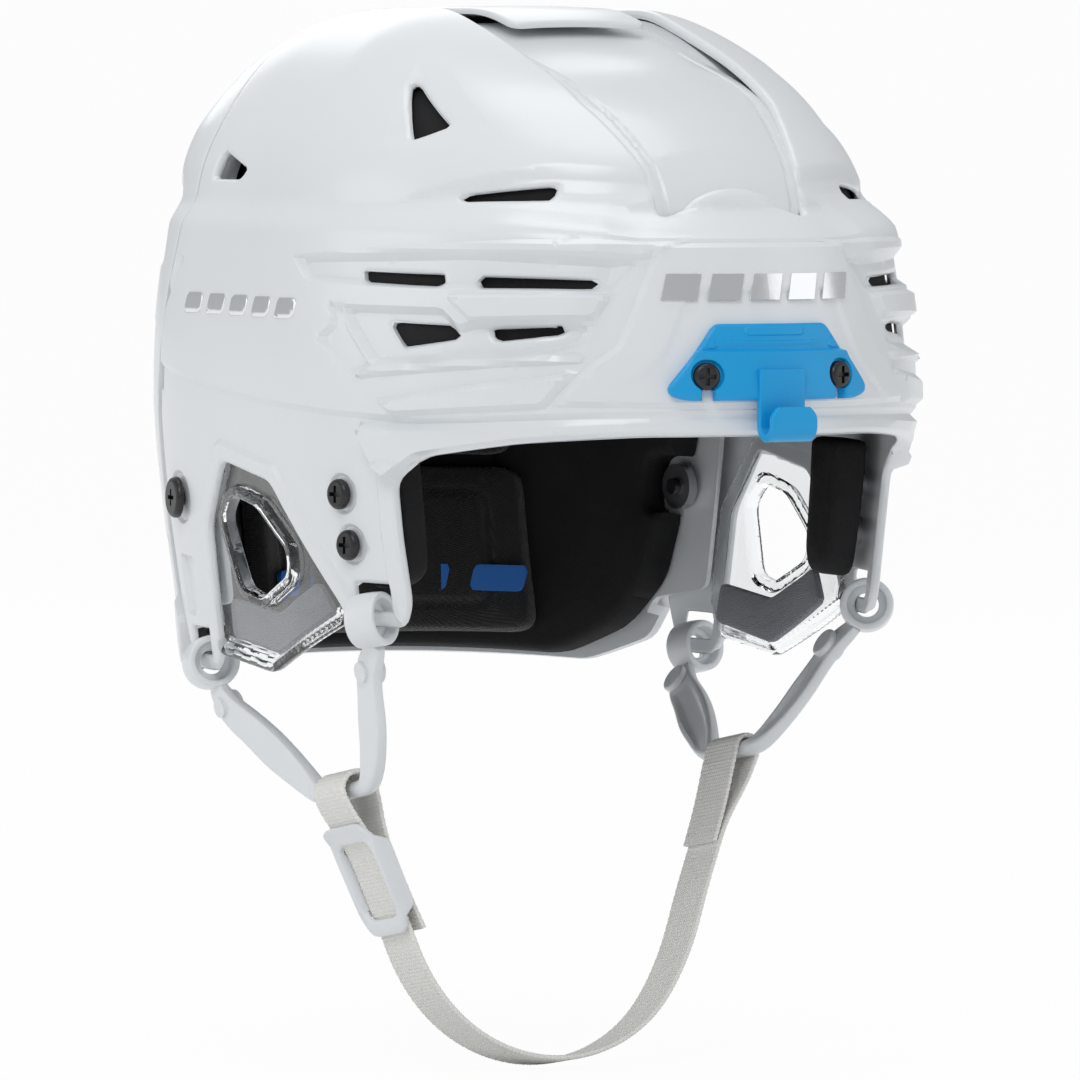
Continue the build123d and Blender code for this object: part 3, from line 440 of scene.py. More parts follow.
class Skin:
    """A stretch of the helmet's form: it is cut along lines, then given an outer and an inner face."""

    def __init__(self, depths, spacing, region, *lines):
        points, normals = form_grid(*depths, spacing)
        rows, columns, _ = points.shape
        pole = (rows - 1) * columns
        self.points = np.concatenate([points[:-1].reshape(-1, 3), points[-1:, 0]])
        self.normals = np.concatenate([normals[:-1].reshape(-1, 3), normals[-1:, 0]])
        index = np.arange(pole).reshape(rows - 1, columns)
        after = np.roll(index, -1, axis=1)
        quads = np.stack([index[:-1], after[:-1], after[1:], index[1:]], axis=2).reshape(-1, 4)
        near = region(self.points) > -3 * spacing
        self.quads = quads[near[quads].any(axis=1)]
        cap = [(int(a), int(b), pole) for a, b in zip(index[-1], after[-1])]
        self.polys = [face for face in cap if near[list(face)].any()]
        for measure in lines:
            self.keep(measure)

    def cut(self, measure, *levels):
        """Adds edges where the measure has the given values."""
        for level in levels:
            self.split(measure(self.points) - level)

    def keep(self, measure):
        """Cuts along a line and drops what lies outside it."""
        self.split(measure(self.points))
        value = measure(self.points)
        self.quads = self.quads[value[self.quads].mean(axis=1) > 0]
        self.polys = [face for face in self.polys if sum(value[i] for i in face) > 0]

    def split(self, value):
        """Divides the faces in which a value changes its sign."""
        value[np.abs(value) < 1e-3] = 1e-3
        positive = value > 0
        sides = positive[self.quads]
        mixed = sides.any(axis=1) & ~sides.all(axis=1)
        waiting = self.quads[mixed].tolist()
        self.quads = self.quads[~mixed]
        done = []
        for face in self.polys:
            same = all(positive[i] == positive[face[0]] for i in face)
            (done if same else waiting).append(face)
        made = {}
        sources = []

        def crossing(i, j):
            key = (min(i, j), max(i, j))
            if key not in made:
                made[key] = len(positive) + len(sources)
                t = value[key[0]] / (value[key[0]] - value[key[1]])
                sources.append((*key, min(max(t, 0.03), 0.97)))
            return made[key]

        for face in waiting:
            pairs = list(zip(face, [*face[1:], face[0]]))
            if sum(positive[i] != positive[j] for i, j in pairs) > 2:
                done.append(face)
                continue
            above = []
            below = []
            for i, j in pairs:
                (above if positive[i] else below).append(i)
                if positive[i] != positive[j]:
                    spot = crossing(i, j)
                    above.append(spot)
                    below.append(spot)
            done += [above, below]
        self.polys = done
        if sources:
            a, b, t = np.array(sources).T
            a, b, t = a.astype(int), b.astype(int), t[:, None]
            normals = self.normals[a] * (1 - t) + self.normals[b] * t
            normals /= np.linalg.norm(normals, axis=1, keepdims=True)
            points = self.points[a] * (1 - t) + self.points[b] * t
            self.points = np.concatenate([self.points, points])
            self.normals = np.concatenate([self.normals, normals])

    def build(self, name, outer, inner, *fit, **more):
        """Piece between an outer and an inner face, given as heights above the form."""
        faces = self.quads.tolist() + self.polys
        used = np.unique(np.concatenate([np.asarray(face) for face in faces]))
        where = np.full(len(self.points), -1)
        where[used] = np.arange(len(used))
        points = self.points[used]
        faces = [[int(where[i]) for i in face] for face in faces]
        sides = [
            points + self.normals[used] * np.reshape(height(points) if callable(height) else height, (-1, 1))
            for height in (outer, inner)
        ]
        edges = {(a, b) for face in faces for a, b in zip(face, face[1:] + face[:1])}
        count = len(points)
        walls = [[b, a, a + count, b + count] for a, b in edges if (b, a) not in edges]
        under = [[i + count for i in reversed(face)] for face in faces]
        return add_piece(name, np.concatenate(sides), faces + under + walls, *fit, **more)


def add_piece(name, points, faces, angle, body, slot, *nodes, paint=None, uv=None):
    """Object for a mesh, smooth but for its sharp edges, with its body, finish and solids it stands for."""
    mesh = bpy.data.meshes.new(name)
    mesh.from_pydata((np.asarray(points) * MM).tolist(), [], faces)
    mesh.validate()
    if uv is not None:
        order = np.zeros(len(mesh.loops), int)
        mesh.loops.foreach_get("vertex_index", order)
        mesh.uv_layers.new(name="weave").data.foreach_set("uv", uv.reshape(-1, 2)[order].ravel())
    mesh.update()
    piece = bpy.data.objects.new(name, mesh)
    bpy.context.scene.collection.objects.link(piece)
    mesh.shade_smooth()
    mesh.set_sharp_from_angle(angle=math.radians(angle))
    mesh.materials.append(finish(paint or slot))
    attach(piece, body)
    if nodes:
        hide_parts(*nodes)
    return piece


class Value:
    """A number on a material's surface, so that its maths can be written as sums."""

    def __init__(self, nodes, socket):
        self.nodes = nodes
        self.socket = socket

    def apply(self, operation, other=0.0):
        node = self.nodes.node("ShaderNodeMath", {"operation": operation}, {0: self, 1: other})
        return Value(self.nodes, node.outputs[0])

    def __add__(self, other):
        return self.apply("ADD", other)

    def __mul__(self, other):
        return self.apply("MULTIPLY", other)

    def least(self, other):
        return self.apply("MINIMUM", other)

    def most(self, other):
        return self.apply("MAXIMUM", other)

    def wave(self):
        return self.apply("SINE")


class Nodes:
    """A node tree, with the few steps that build it."""

    def __init__(self, tree):
        self.tree = tree

    def feed(self, target, value):
        """Sets a socket, or links a varying value to it."""
        if isinstance(value, Value):
            value = value.socket
        if isinstance(value, bpy.types.NodeSocket):
            self.tree.links.new(value, target)
        else:
            target.default_value = value

    def node(self, kind, settings=None, inputs=None):
        """Adds a node: its settings first, then the values or links of its sockets."""
        node = self.tree.nodes.new(kind)
        for key, value in (settings or {}).items():
            setattr(node, key, value)
        for key, value in (inputs or {}).items():
            self.feed(node.inputs[key], value)
        return node

    def rays(self, *kinds):
        """1 for rays of the given kinds, 0 for others."""
        outputs = self.node("ShaderNodeLightPath").outputs
        seen = Value(self, outputs[f"Is {kinds[0]} Ray"])
        for kind in kinds[1:]:
            seen = seen.most(Value(self, outputs[f"Is {kind} Ray"]))
        return seen

    def mix(self, factor, first, second, output):
        """Mixes two shaders into the tree's output."""
        node = self.node("ShaderNodeMixShader", {}, {0: factor, 1: first.outputs[0], 2: second.outputs[0]})
        self.tree.links.new(node.outputs[0], self.tree.nodes[output].inputs["Surface"])


class Finish(Nodes):
    """One material: a surface shader and the nodes that vary it."""

    def __init__(self, name, colour, roughness, **constants):
        self.material = bpy.data.materials.new(name)
        self.material.use_nodes = True
        super().__init__(self.material.node_tree)
        self.shader = self.tree.nodes["Principled BSDF"]
        self.set("Base Color", (*colour[:3], 1.0))
        self.set("Roughness", roughness)
        for key, value in constants.items():
            self.set(key.replace("_", " "), value)

    def set(self, socket, value):
        self.feed(self.shader.inputs[socket], value)

    def noise(self, scale, detail=3.0, roughness=0.5):
        where = self.node("ShaderNodeTexCoord").outputs["Object"]
        inputs = {"Vector": where, "Scale": scale, "Detail": detail, "Roughness": roughness}
        return Value(self, self.node("ShaderNodeTexNoise", {}, inputs).outputs["Fac"])

    def place(self, kind):
        """The three parts of a place on the surface."""
        where = self.node("ShaderNodeTexCoord").outputs[kind]
        return [Value(self, out) for out in self.node("ShaderNodeSeparateXYZ", {}, {0: where}).outputs]

    def tint(self, factor, first, second):
        """Colours the surface between two colours."""
        inputs = {0: factor, 6: (*first[:3], 1.0), 7: (*second[:3], 1.0)}
        self.set("Base Color", self.node("ShaderNodeMix", {"data_type": "RGBA"}, inputs).outputs[2])

    def bump(self, height, distance):
        node = self.node("ShaderNodeBump", {}, {"Height": height, "Distance": distance, "Strength": 1.0})
        self.set("Normal", node.outputs["Normal"])


def plastic(name, colour, roughness, coat=0.25):
    """Moulded plastic with a fine grain and faint flow marks."""
    made = Finish(name, colour, roughness, Coat_Weight=coat, Coat_Roughness=0.16, IOR=1.5)
    flow = made.noise(26.0, 2.0)
    fine = made.noise(1400.0, 2.0)
    made.tint(flow, [c * 0.965 for c in colour[:3]], colour)
    made.set("Roughness", fine * 0.06 + flow * 0.05 + (roughness - 0.05))
    made.bump(fine, 0.00002)
    return made.material


def foam(name, colour):
    """Closed cell foam with a pitted skin."""
    made = Finish(name, colour, 0.9, Specular_IOR_Level=0.25)
    fine = made.noise(900.0, 4.0, 0.65)
    broad = made.noise(60.0, 2.0)
    made.tint(fine * broad, colour, [min(c * 2.2 + 0.004, 1) for c in colour[:3]])
    made.set("Roughness", fine * 0.15 + 0.8)
    made.bump(fine + broad * 0.6, 0.00025)
    return made.material


def cloth(name, colour, pitch=0.9):
    """Knitted facing cloth with a fine grid of cells."""
    made = Finish(name, colour, 0.85, Specular_IOR_Level=0.2, Sheen_Weight=0.3, Sheen_Roughness=0.5)
    x, y, z = made.place("Object")
    step = 2 * math.pi / (pitch * MM)
    weave = (x * step + y * (0.35 * step)).wave() * (z * step + y * (0.6 * step)).wave()
    fuzz = made.noise(2200.0, 2.0)
    lighter = [min(c * 2.4 + 0.006, 1) for c in colour[:3]]
    made.tint((weave * 0.25 + fuzz * 0.75).most(0.0), colour, lighter)
    made.set("Roughness", fuzz * 0.1 + 0.8)
    made.bump(weave * 0.7 + fuzz * 0.6, 0.00022)
    return made.material


def webbing(name, colour):
    """Woven tape: fine ribs across it, seen through its own length and width."""
    made = Finish(name, colour, 0.8, Specular_IOR_Level=0.25, Sheen_Weight=0.25, Sheen_Roughness=0.4)
    u, v, _ = made.place("UV")
    rib = (u * (2 * math.pi)).wave()
    thread = (v * (2 * math.pi * 16)).wave()
    fuzz = made.noise(2600.0, 3.0)
    darker = (colour[0] * 0.84, colour[1] * 0.835, colour[2] * 0.81)
    made.tint((rib * 0.2 + thread * 0.12 + fuzz * 0.6 + 0.35).least(1.0), darker, colour)
    made.set("Roughness", fuzz * 0.15 + 0.7)
    made.bump(thread * 0.6 + rib * thread * 0.6 + fuzz, 0.00012)
    return made.material


def metal(name, colour, roughness):
    """Coated or plated metal with faint wear."""
    made = Finish(name, colour, roughness, Metallic=1.0)
    fine = made.noise(700.0)
    made.set("Roughness", fine * 0.12 + (roughness - 0.05))
    made.bump(fine, 0.00001)
    return made.material


def clear(name, colour):
    """Clear moulded polycarbonate."""
    made = Finish(name, colour, 0.03, Transmission_Weight=1.0, IOR=1.45, Coat_Weight=0.2, Coat_Roughness=0.02)
    made.bump(made.noise(300.0, 2.0), 0.000004)
    return made.material


def make_finishes():
    """All materials of the helmet, by the slots or the finishes that its pieces name."""
    colours = bpy.context.scene.helmet_colours
    loops = plastic("loop_white", [c * 1.01 for c in colours.shell], 0.36, 0.15)
    return {
        "shell_white": plastic("shell_white", colours.shell, 0.3),
        "panel_white": plastic("panel_white", [c * 0.97 for c in colours.shell], 0.34),
        "loop_white": loops,
        "buckle_white": loops,
        "stud_white": loops,
        "clip_blue": plastic("clip_blue", colours.clip, 0.42, 0.0),
        "guard_clear": clear("guard_clear", colours.guard),
        "liner_black": foam("liner_black", colours.foam),
        "pad_black": cloth("pad_black", colours.foam),
        "ear_foam": cloth("ear_grey", colours.ear_pad, 0.7),
        "webbing_white": webbing("webbing_white", colours.webbing),
        "thread": plastic("thread_white", [c * 0.9 for c in colours.webbing], 0.7, 0.0),
        "screw_black": plastic("screw_black", (0.011, 0.011, 0.013), 0.34, 0.0),
        "nut_metal": metal("nut_steel", (0.5, 0.5, 0.52), 0.4),
        "trim_silver": metal("trim_silver", (0.8, 0.81, 0.83), 0.16),
        "print": plastic("print_blue", colours.print, 0.6, 0.0),
    }


FINISHES = {}


def finish(name):
    """A finish by name; all are made once."""
    if not FINISHES:
        FINISHES.update(make_finishes())
    return FINISHES[name]


def repaint(names, slot, bevel=0.0):
    """Gives solids that keep their shape a finish and, where asked, softer edges."""
    for name in names:
        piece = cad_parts[name]
        piece.data.materials.clear()
        piece.data.materials.append(finish(slot))
        if bevel:
            soft = piece.modifiers.new("soft_edges", "BEVEL")
            soft.width = bevel * MM
            soft.segments = 2
            soft.limit_method = "ANGLE"
            soft.angle_limit = math.radians(35)
            soft.harden_normals = False


# Shells

def make_front_shell(detail):
    outline = Outline("side", SHELL_OUTLINE, 3.5)
    window = outside(Outline("above", WINDOW, 2, on_dome))
    holes = [outside(Outline("side", points, 1.2)) for points in VENTS]
    holes += [outside(Outline("side", points, 1)) for points in HOOP_SLOTS]
    features = [(Outline("side", points, radius), *slope) for points, radius, *slope in FRONT_RELIEF]
    features.append((Outline("front", PLATE_INNER, 2, in_front), -0.5, 1.4))
    features += [(disc("side", centre, radius), *slope) for centre, radius, *slope in SCREW_SEATS]
    plate = Outline("front", PLATE, 2, in_front)
    rim = Outline("side", RIM_BAND, 1.5)
    face_edge = line("side", FACE_EDGE)
    ear_edge = line("side", EAR_EDGE)
    border = least(outline, window, *holes)
    skin = Skin((0, 0, 0, 0), detail, outline, outline, window, *holes)
    for measure, _, run in features:
        skin.cut(measure, 0, run)
    skin.cut(plate, 0, 1.8)
    skin.cut(rim, 0, 2)
    skin.cut(face_edge, -7.5, -6)
    skin.cut(ear_edge, -6.5, -5)
    skin.cut(border, 0.35, 0.9, 1.6)

    def outer(points):
        x, y, z = points.T
        sideways = np.clip(np.abs(x) / SHELL_HALF_WIDTH, 0, 1) ** 3
        height = sum(amount * ramp(measure(points), 0, run) for measure, amount, run in features)
        beside = plate(points)
        height -= 1.6 * (1 - ramp(beside, 0, 1.8)) * ramp(beside, -12, -5)
        proud = 1 + 3 * sideways**2 + 2.4 * (2 * sideways * np.sqrt(1 - sideways**2)) ** 2
        height += proud * ramp(rim(points), 0, 2)
        height += 1.2 * ramp(-face_edge(points), 7.5, 6) * (z < -8)
        height += ramp(ear_edge(points), -6.5, -5)
        corner = rise(-y, 60, 105) * rise(np.abs(x), 38, 66)
        height += 2.4 * corner * rise(z, -2, 8) * (1 - rise(z, 62, 76))
        return height - edge_round(border(points), 1.6)

    skin.build("shell_front", outer, lambda points: edge_round(border(points), 0.8) - SHELL_WALL,
               SHARP_SHELL, "helmet", "shell_white", "front_shell")


def make_crown_panel(detail):
    window = Outline("above", WINDOW, 2, on_dome)
    skin = Skin((PANEL_SINK, PANEL_FRONT_SINK, PANEL_SINK, PANEL_SINK), detail, window,
                lambda points: window(points) + 6, lambda points: 29 - points[:, 1])
    seams = [
        line("above", [(side * x, y) for x, y in ((20, -132), (21.5, -112), (26.5, -84), (27.5, -40))],
             on_dome)
        for side in (1, -1)
    ]
    skin.cut(line("above", ((-60, -111), (60, -111))), -0.6, 0)
    skin.cut(window, -0.4, 0.4, 1.2)
    for seam in seams:
        skin.cut(seam, -1.2, -0.4)

    def outer(points):
        y = points[:, 1]
        height = 2.2 * rise(-y, 44, 84) - 2.8 * ramp(-y, 111, 123)
        for seam in seams:
            height -= 0.5 * ramp(seam(points), -1.2, -0.4)
        lap = ramp(-window(points), -0.4, 0.4)
        height -= edge_round(window(points), 1.2)
        return height * (1 - lap) + lap * (2.4 - 6.2 * rise(-y, 20, 110))

    skin.build("panel_crown", outer, lambda points: outer(points) - PANEL_WALL,
               SHARP_SHELL, "helmet", "panel_white", "crown_panel")


def make_rear_shell(detail):
    outline = Outline("side", REAR_OUTLINE, 3)
    tongue = Outline("above", TONGUE, 2, on_dome)
    behind = Outline("side", REAR_STEP, 2)
    holes = [outside(Outline("side", points, 2)) for points in REAR_VENTS]
    lip = line("side", REAR_LIP)
    panels = [
        (Outline("side", ((72, 74), (108, 60), (124, 38), (70, 46)), 4), -1.8, 2.2),
        (Outline("side", ((74, 30), (126, 22), (126, 0), (76, 6)), 4), -1.8, 2.2),
        (Outline("front", ((-30, -18), (30, -18), (24, -66), (-24, -66)), 5, at_back), -1.4, 2.4),
        (Outline("front", ((-46, 54), (46, 54), (38, -6), (-38, -6)), 5, at_back), 1.4, 2.4),
        (Outline("front", ((-27, 45), (27, 45), (22, 8), (-22, 8)), 4, at_back), -1.2, 2),
    ]

    def whole(points):
        return np.maximum(outline(points), tongue(points))

    def flush(points):
        return np.maximum(behind(points), tongue(points))

    border = least(whole, *holes)
    skin = Skin((REAR_FLUSH_SINK, REAR_FLUSH_SINK, 0, REAR_FLUSH_SINK), detail, whole, whole, *holes)
    for measure, _, run in panels:
        skin.cut(measure, 0, run)
    skin.cut(lip, -7, -5.5)
    skin.cut(flush, 0, 0.5, 1.2, 2.4, REAR_WALL)
    skin.cut(border, 0.35, 0.9, 1.6)

    def sunk(points):
        """Depth of the stretch that slides under the front shell."""
        return (REAR_SINK - REAR_FLUSH_SINK) * (1 - rise(points[:, 1], 90, 130))

    def outer(points):
        height = sum(amount * ramp(measure(points), 0, run) for measure, amount, run in panels)
        height += 1.2 * ramp(lip(points), -7, -5.5)
        step = flush(points)
        slides_under = outline(points) > -1.5
        clearance = 0.8 + 0.9 * rise(points[:, 2], 78, 92)
        height -= (sunk(points) + clearance) * (1 - ramp(step, 0, 0.5)) * slides_under
        height -= edge_round(np.where(step > 0, step, 9), 1.2) * slides_under
        return height - edge_round(border(points), 1.2)

    def inner(points):
        off_tongue = outline(points) > -1.5
        on_tongue = ramp(tongue(points), 0, 2.4) * (1 - ramp(behind(points), 0, REAR_WALL))
        wall = REAR_WALL - (REAR_WALL - TONGUE_WALL) * np.where(outline(points) < -1.5, 1, on_tongue)
        return -wall - sunk(points) * (1 - ramp(flush(points), 2.4, REAR_WALL)) * off_tongue

    skin.build("shell_rear", outer, inner, SHARP_SHELL, "rear", "shell_white", "rear_shell")


# Ear guards, foam and pads

def make_ear_guard(side, name):
    where = one_side(side)
    outline = Outline("side", GUARD, 3, where)
    ring = Outline("side", EAR_HOLE, 3.2, where)
    lip = line("side", GUARD[4:], where)
    border = line("side", GUARD + GUARD[:1], where)
    edge = least(outline, outside(ring))
    skin = Skin((GUARD_SINK,) * 4, 1.1, outline, outline, outside(ring))
    skin.cut(ring, -3.6, -2.6)
    skin.cut(lip, -4, -2.4)
    skin.cut(border, -5.5, -4.5)
    skin.cut(edge, 0.3, 0.8)

    def outer(points):
        height = 2.6 * rise(ring(points), -3.6, -2.4) + 2.2 * rise(lip(points), -4, -2)
        height += 0.6 * rise(border(points), -5.5, -4.5)
        return height - edge_round(edge(points), 0.8)

    def inner(points):
        return 1.6 * rise(lip(points), -3, -1) + edge_round(edge(points), 0.6) - 2

    skin.build("guard_" + name, outer, inner, SHARP_SMALL, "helmet", "guard_clear", "ear_guard_" + name)


def make_ear_pad(side, name):
    cushion("pad_ear_" + name, "ear_pad_" + name, "helmet", "ear_foam", EAR_PAD_SINK, 1.6,
            Outline("side", EAR_PAD, 2.5, one_side(side)), 3, 0.8, 1)


def cushion(name, node, body, slot, sink, spacing, outline, thick, crown, radius,
            channels=(), holes=()):
    """Foam pad that fits the form behind it and swells inward between its edges and channels."""
    more = REAR_SINK if body == "rear" else 0
    edge = least(outline, *holes)
    skin = Skin((sink + more, sink + more, sink, sink + more), spacing, outline, outline, *holes)
    skin.cut(edge, 0.25 * radius, 0.6 * radius, radius)
    for channel in channels:
        skin.cut(channel, -2.4, -1, 0)

    def inner(points):
        depth = thick - crown + crown * rise(edge(points), 0, 4 * radius)
        for channel in channels:
            depth -= 1.8 * np.exp(-(channel(points) / 1.5) ** 2)
        return edge_round(edge(points), radius) - depth

    piece = skin.build(name, lambda points: -edge_round(edge(points), 0.5 * radius), inner,
                       SHARP_SOFT, body, slot, node)


def make_front_liner():
    outline = Outline("side", FRONT_LINER, 3)
    window = Outline("above", [(x * 1.2, y * 1.05) for x, y in WINDOW], 4, on_dome)
    channels = [line("above", ((x, -120), (x, 20)), on_dome) for x in (-33, 33)]
    channels += [line("side", ((-60, 0), (-60, 90))), line("side", ((-20, 0), (-20, 100)))]
    skin = Skin((3.4,) * 4, 2.4, outline, outline)
    skin.cut(window, -1.5, 0, 1.5)
    skin.cut(outline, 1, 2.5)
    for channel in channels:
        skin.cut(channel, -4, -2.5)

    def outer(points):
        return -4.6 * rise(window(points), -1.5, 1.5) - edge_round(outline(points), 1)

    def inner(points):
        depth = 13.4 - sum(4 * rise(channel(points), -4, -2.5) for channel in channels)
        return edge_round(outline(points), 2.5) - depth

    piece = skin.build("foam_front", outer, inner, SHARP_SOFT, "helmet", "liner_black", "front_liner")


def make_rear_liner():
    hole = outside(Outline("side", box((40, -33), (59, -15)), 6))
    channels = [line("front", ((x, -60), (x, 70)), at_back) for x in (-50, 50)]
    cushion("foam_rear", "rear_liner", "rear", "liner_black", REAR_LINER_SINK, 2.4,
            Outline("side", REAR_LINER, 5), 11.2, 0.6, 2.5, channels, [hole])


def make_temple_pads():
    for side, name in SIDES:
        cushion("foam_temple_" + name, "temple_pad_" + name, "helmet", "liner_black", 7.5, 1.4,
                Outline("side", TEMPLE_PAD, 3, one_side(side)), 12.4, 2, 3)


def make_pads():
    def pad(name, node, outline, crown, radius, channels):
        cushion(name, node, "helmet", "pad_black", HELMET_PAD_SINK, 1.8, outline, 7, crown, radius,
                channels)

    def across(xs, low, high, where):
        return [line("front", ((x, low), (x, high)), where) for x in xs]

    pad("pad_brow", "brow_pad", Outline("front", box((-58, 5.6), (58, 24.8)), 6, in_front), 2.2, 2.2,
        across((-29, 0, 29), 0, 30, in_front))
    pad("pad_crown", "crown_pad", Outline("above", box((-34, -62.2), (34, 13.3)), 6, on_dome), 2.4, 2.4,
        [line("above", ((-34, -24), (34, -24)), on_dome)])
    for side, name in SIDES:
        pad("pad_side_" + name, "side_pad_" + name, Outline("side", SIDE_PAD, 6, one_side(side)), 2.2, 2.2,
            [line("side", ((-24, 0), (-24, 50)))])
    lines = across((-32, -16, 0, 16, 32), -16, 45, at_back)
    lines += [line("front", ((-48, z), (48, z)), at_back) for z in (-1, 14, 29)]
    cushion("pad_rear", "rear_pad", "rear", "pad_black", REAR_PAD_SINK, 1.6,
            Outline("front", box((-48, -16), (48, 44.6)), 6, at_back), 7, 1.6, 2, lines)
    ring = rounded(box((-42, -63), (42, -28)), 5)
    cushion("pad_occipital", "occipital_pad", "rear", "pad_black", REAR_PAD_SINK, 1.6,
            Outline("front", box((-50, -71), (50, -20)), 6, at_back), 10, 2.6, 2.6,
            [line("front", [*ring, ring[0]], at_back)])


# Webbing strap

SIDEWAYS = np.array((1.0, 0.0, 0.0))
STRAP_ORIGIN = np.array((0.0, -18.632, -62.015))
STRAP_DOWN = np.array((0.0, -0.180643, -0.983549))
STRAP_ACROSS = np.array((0.0, 0.983549, -0.180643))
STRAP_WIDTH = 19
STRAP_WALL = 1.6
RIB_PITCH = 1.15
CHIN = np.array((-14.3, 80.6))
CHIN_RADIUS = 48
# In the strap's plane: the place of a loop's bar, the way down its strand, and the way outward
LEFT = np.array(((56.942, 38.5), (-0.406737, 0.913545), (0.913545, 0.406737)))
RIGHT = np.array(((-75.739, 46.286), (0.34202, 0.939693), (-0.939693, 0.34202)))
# A stitch: its corners across, along and above the webbing, and its faces
STITCH = np.array((
    (-0.75, -0.22, 0), (0.75, -0.22, 0), (0.75, 0.22, 0), (-0.75, 0.22, 0),
    (-0.5, -0.12, 0.22), (0.5, -0.12, 0.22), (0.5, 0.12, 0.22), (-0.5, 0.12, 0.22),
))
STITCH_FACES = ((3, 2, 1, 0), (4, 5, 6, 7), (0, 1, 5, 4), (1, 2, 6, 5), (2, 3, 7, 6), (3, 0, 4, 7))


def strand(bar_frame, *places):
    """Points beside a bar: how far down its strand, and how far outward."""
    bar, down, out = bar_frame
    return [bar + down * run + out * across for run, across in places]


def turn_points(bar_frame, radius, start, end):
    """Arc about a bar; 0 degrees lies outward and 90 degrees down the strand."""
    angles = np.radians(np.linspace(start, end, 9))
    return strand(bar_frame, *zip(radius * np.sin(angles), radius * np.cos(angles)))


def strap_line():
    """Centre line of the webbing in its own plane, from the sewn end to the free end."""
    points = strand(LEFT, (31, -1.75), (26, -1.85), (18, -2.2), (9, -3))
    points += turn_points(LEFT, 3.75, 170, 370)
    points += strand(LEFT, (9, 3), (18, 1.3), (26, 0.15), (34, 0), (48, 0.2), (62, 0.6))
    for a in np.radians((28, 48, 69, 90, 111, 132, 152)):
        points.append(CHIN + CHIN_RADIUS * np.array((math.cos(a), math.sin(a))))
    points += strand(RIGHT, (52, 2.2), (44, 2), (30, 2), (18, 2.2), (8, 4.2))
    points += turn_points(RIGHT, 5.3, 5, -185)
    points += strand(RIGHT, (8, -4), (18, -2.1), (30, -2), (40, -2.1), (45.5, -2.4))
    return np.array(points)


def in_plane(flat):
    """Directions in the strap's plane, as directions in space."""
    return flat[..., :1] * SIDEWAYS + flat[..., 1:] * STRAP_DOWN


def smooth_path(points, spacing):
    """Even steps along a smooth curve through the points, with the curve's directions."""
    knots = np.concatenate([[0], np.cumsum(np.linalg.norm(np.diff(points[:, :2], axis=0), axis=1))])
    fine = np.linspace(0, knots[-1], 4000)
    curve = np.stack([spline(knots, column, fine) for column in points.T], axis=1)
    steps = np.linalg.norm(np.diff(curve[:, :2], axis=0), axis=1)
    length = np.concatenate([[0], np.cumsum(steps)])
    at = np.arange(0, length[-1], spacing)
    path = np.stack([np.interp(at, length, column) for column in curve.T], axis=1)
    along = np.gradient(path[:, :2], axis=0)
    along /= np.linalg.norm(along, axis=1, keepdims=True)
    return path, along, at


def tubes(*parts):
    """Points and faces of closed sections swept along lines; a section is (across, up) for each step."""
    points = []
    faces = []
    for centres, ups, acrosses, section in parts:
        places = (
            centres[:, None, :] + acrosses[:, None, :] * section[:, :, 0:1]
            + ups[:, None, :] * section[:, :, 1:2]
        )
        index = np.arange(section[..., 0].size).reshape(section.shape[:2]) + len(points)
        after = np.roll(index, -1, axis=1)
        faces += np.stack([index[:-1], after[:-1], after[1:], index[1:]], axis=2).reshape(-1, 4).tolist()
        faces += [index[0][::-1].tolist(), index[-1].tolist()]
        points += list(places.reshape(-1, 3))
    return points, faces


def tape_section(half_width, half_wall):
    """Flat section with round sides."""
    reach = half_width - half_wall
    top = [(f * reach, half_wall) for f in np.linspace(-1, 1, 13)]
    right = [
        (reach + half_wall * math.cos(a), half_wall * math.sin(a)) for a in np.radians((55, 20, -20, -55))
    ]
    half = np.array(top + right)
    return np.concatenate([half, -half])


def make_strap():
    path, along, at = smooth_path(strap_line(), 0.28)
    centres = STRAP_ORIGIN + in_plane(path)
    direction = in_plane(along)
    acrosses = np.tile(STRAP_ACROSS, (len(path), 1))
    ups = np.cross(acrosses, direction)
    section = np.tile(tape_section(STRAP_WIDTH / 2, STRAP_WALL / 2 - 0.08), (len(path), 1, 1))
    x, y = section[..., 0], section[..., 1]
    y += np.sign(y) * (0.07 * np.sin(2 * math.pi * at / RIB_PITCH))[:, None]
    x += np.sign(x) * (0.12 * np.sin(math.pi * at / RIB_PITCH))[:, None] * (np.abs(x) > 8.5)
    uv = np.stack([at[:, None] / RIB_PITCH + 0 * x, x / STRAP_WIDTH], axis=2)
    add_piece("strap_webbing", *tubes((centres, ups, acrosses, section)), 60, "strap", "webbing_white",
              "chin_strap", uv=uv)
    # Rows of thread where the webbing is sewn to itself, and across its folded tail
    points = []
    faces = []
    for place in (3, 5, 25.5, at[-1] - 4, at[-1] - 6):
        k = int(np.argmin(np.abs(at - place)))
        for across in np.arange(-8.0, 8.1, 2.0):
            for up in (ups[k], -ups[k]):
                centre = centres[k] + STRAP_ACROSS * across + up * (STRAP_WALL / 2 + 0.02)
                faces += [[len(points) + i for i in face] for face in STITCH_FACES]
                points += list(centre + STITCH @ np.stack([STRAP_ACROSS, direction[k], up]))
    add_piece("strap_stitches", points, faces, SHARP_SMALL, "strap", "webbing_white", paint="thread")


# Loops and buckle

HINGE = (83.9, -6.735, -64.2)
HINGE_HALF = 52.59
HOOP_TURNS = ((-HINGE_HALF, math.radians(30)), (HINGE_HALF, math.radians(-12)))
# A hoop's band and its thin inner web: radius, half width, half wall
HOOP = ((6.9, 4.9, 1), (5, 1.3, 1.4))
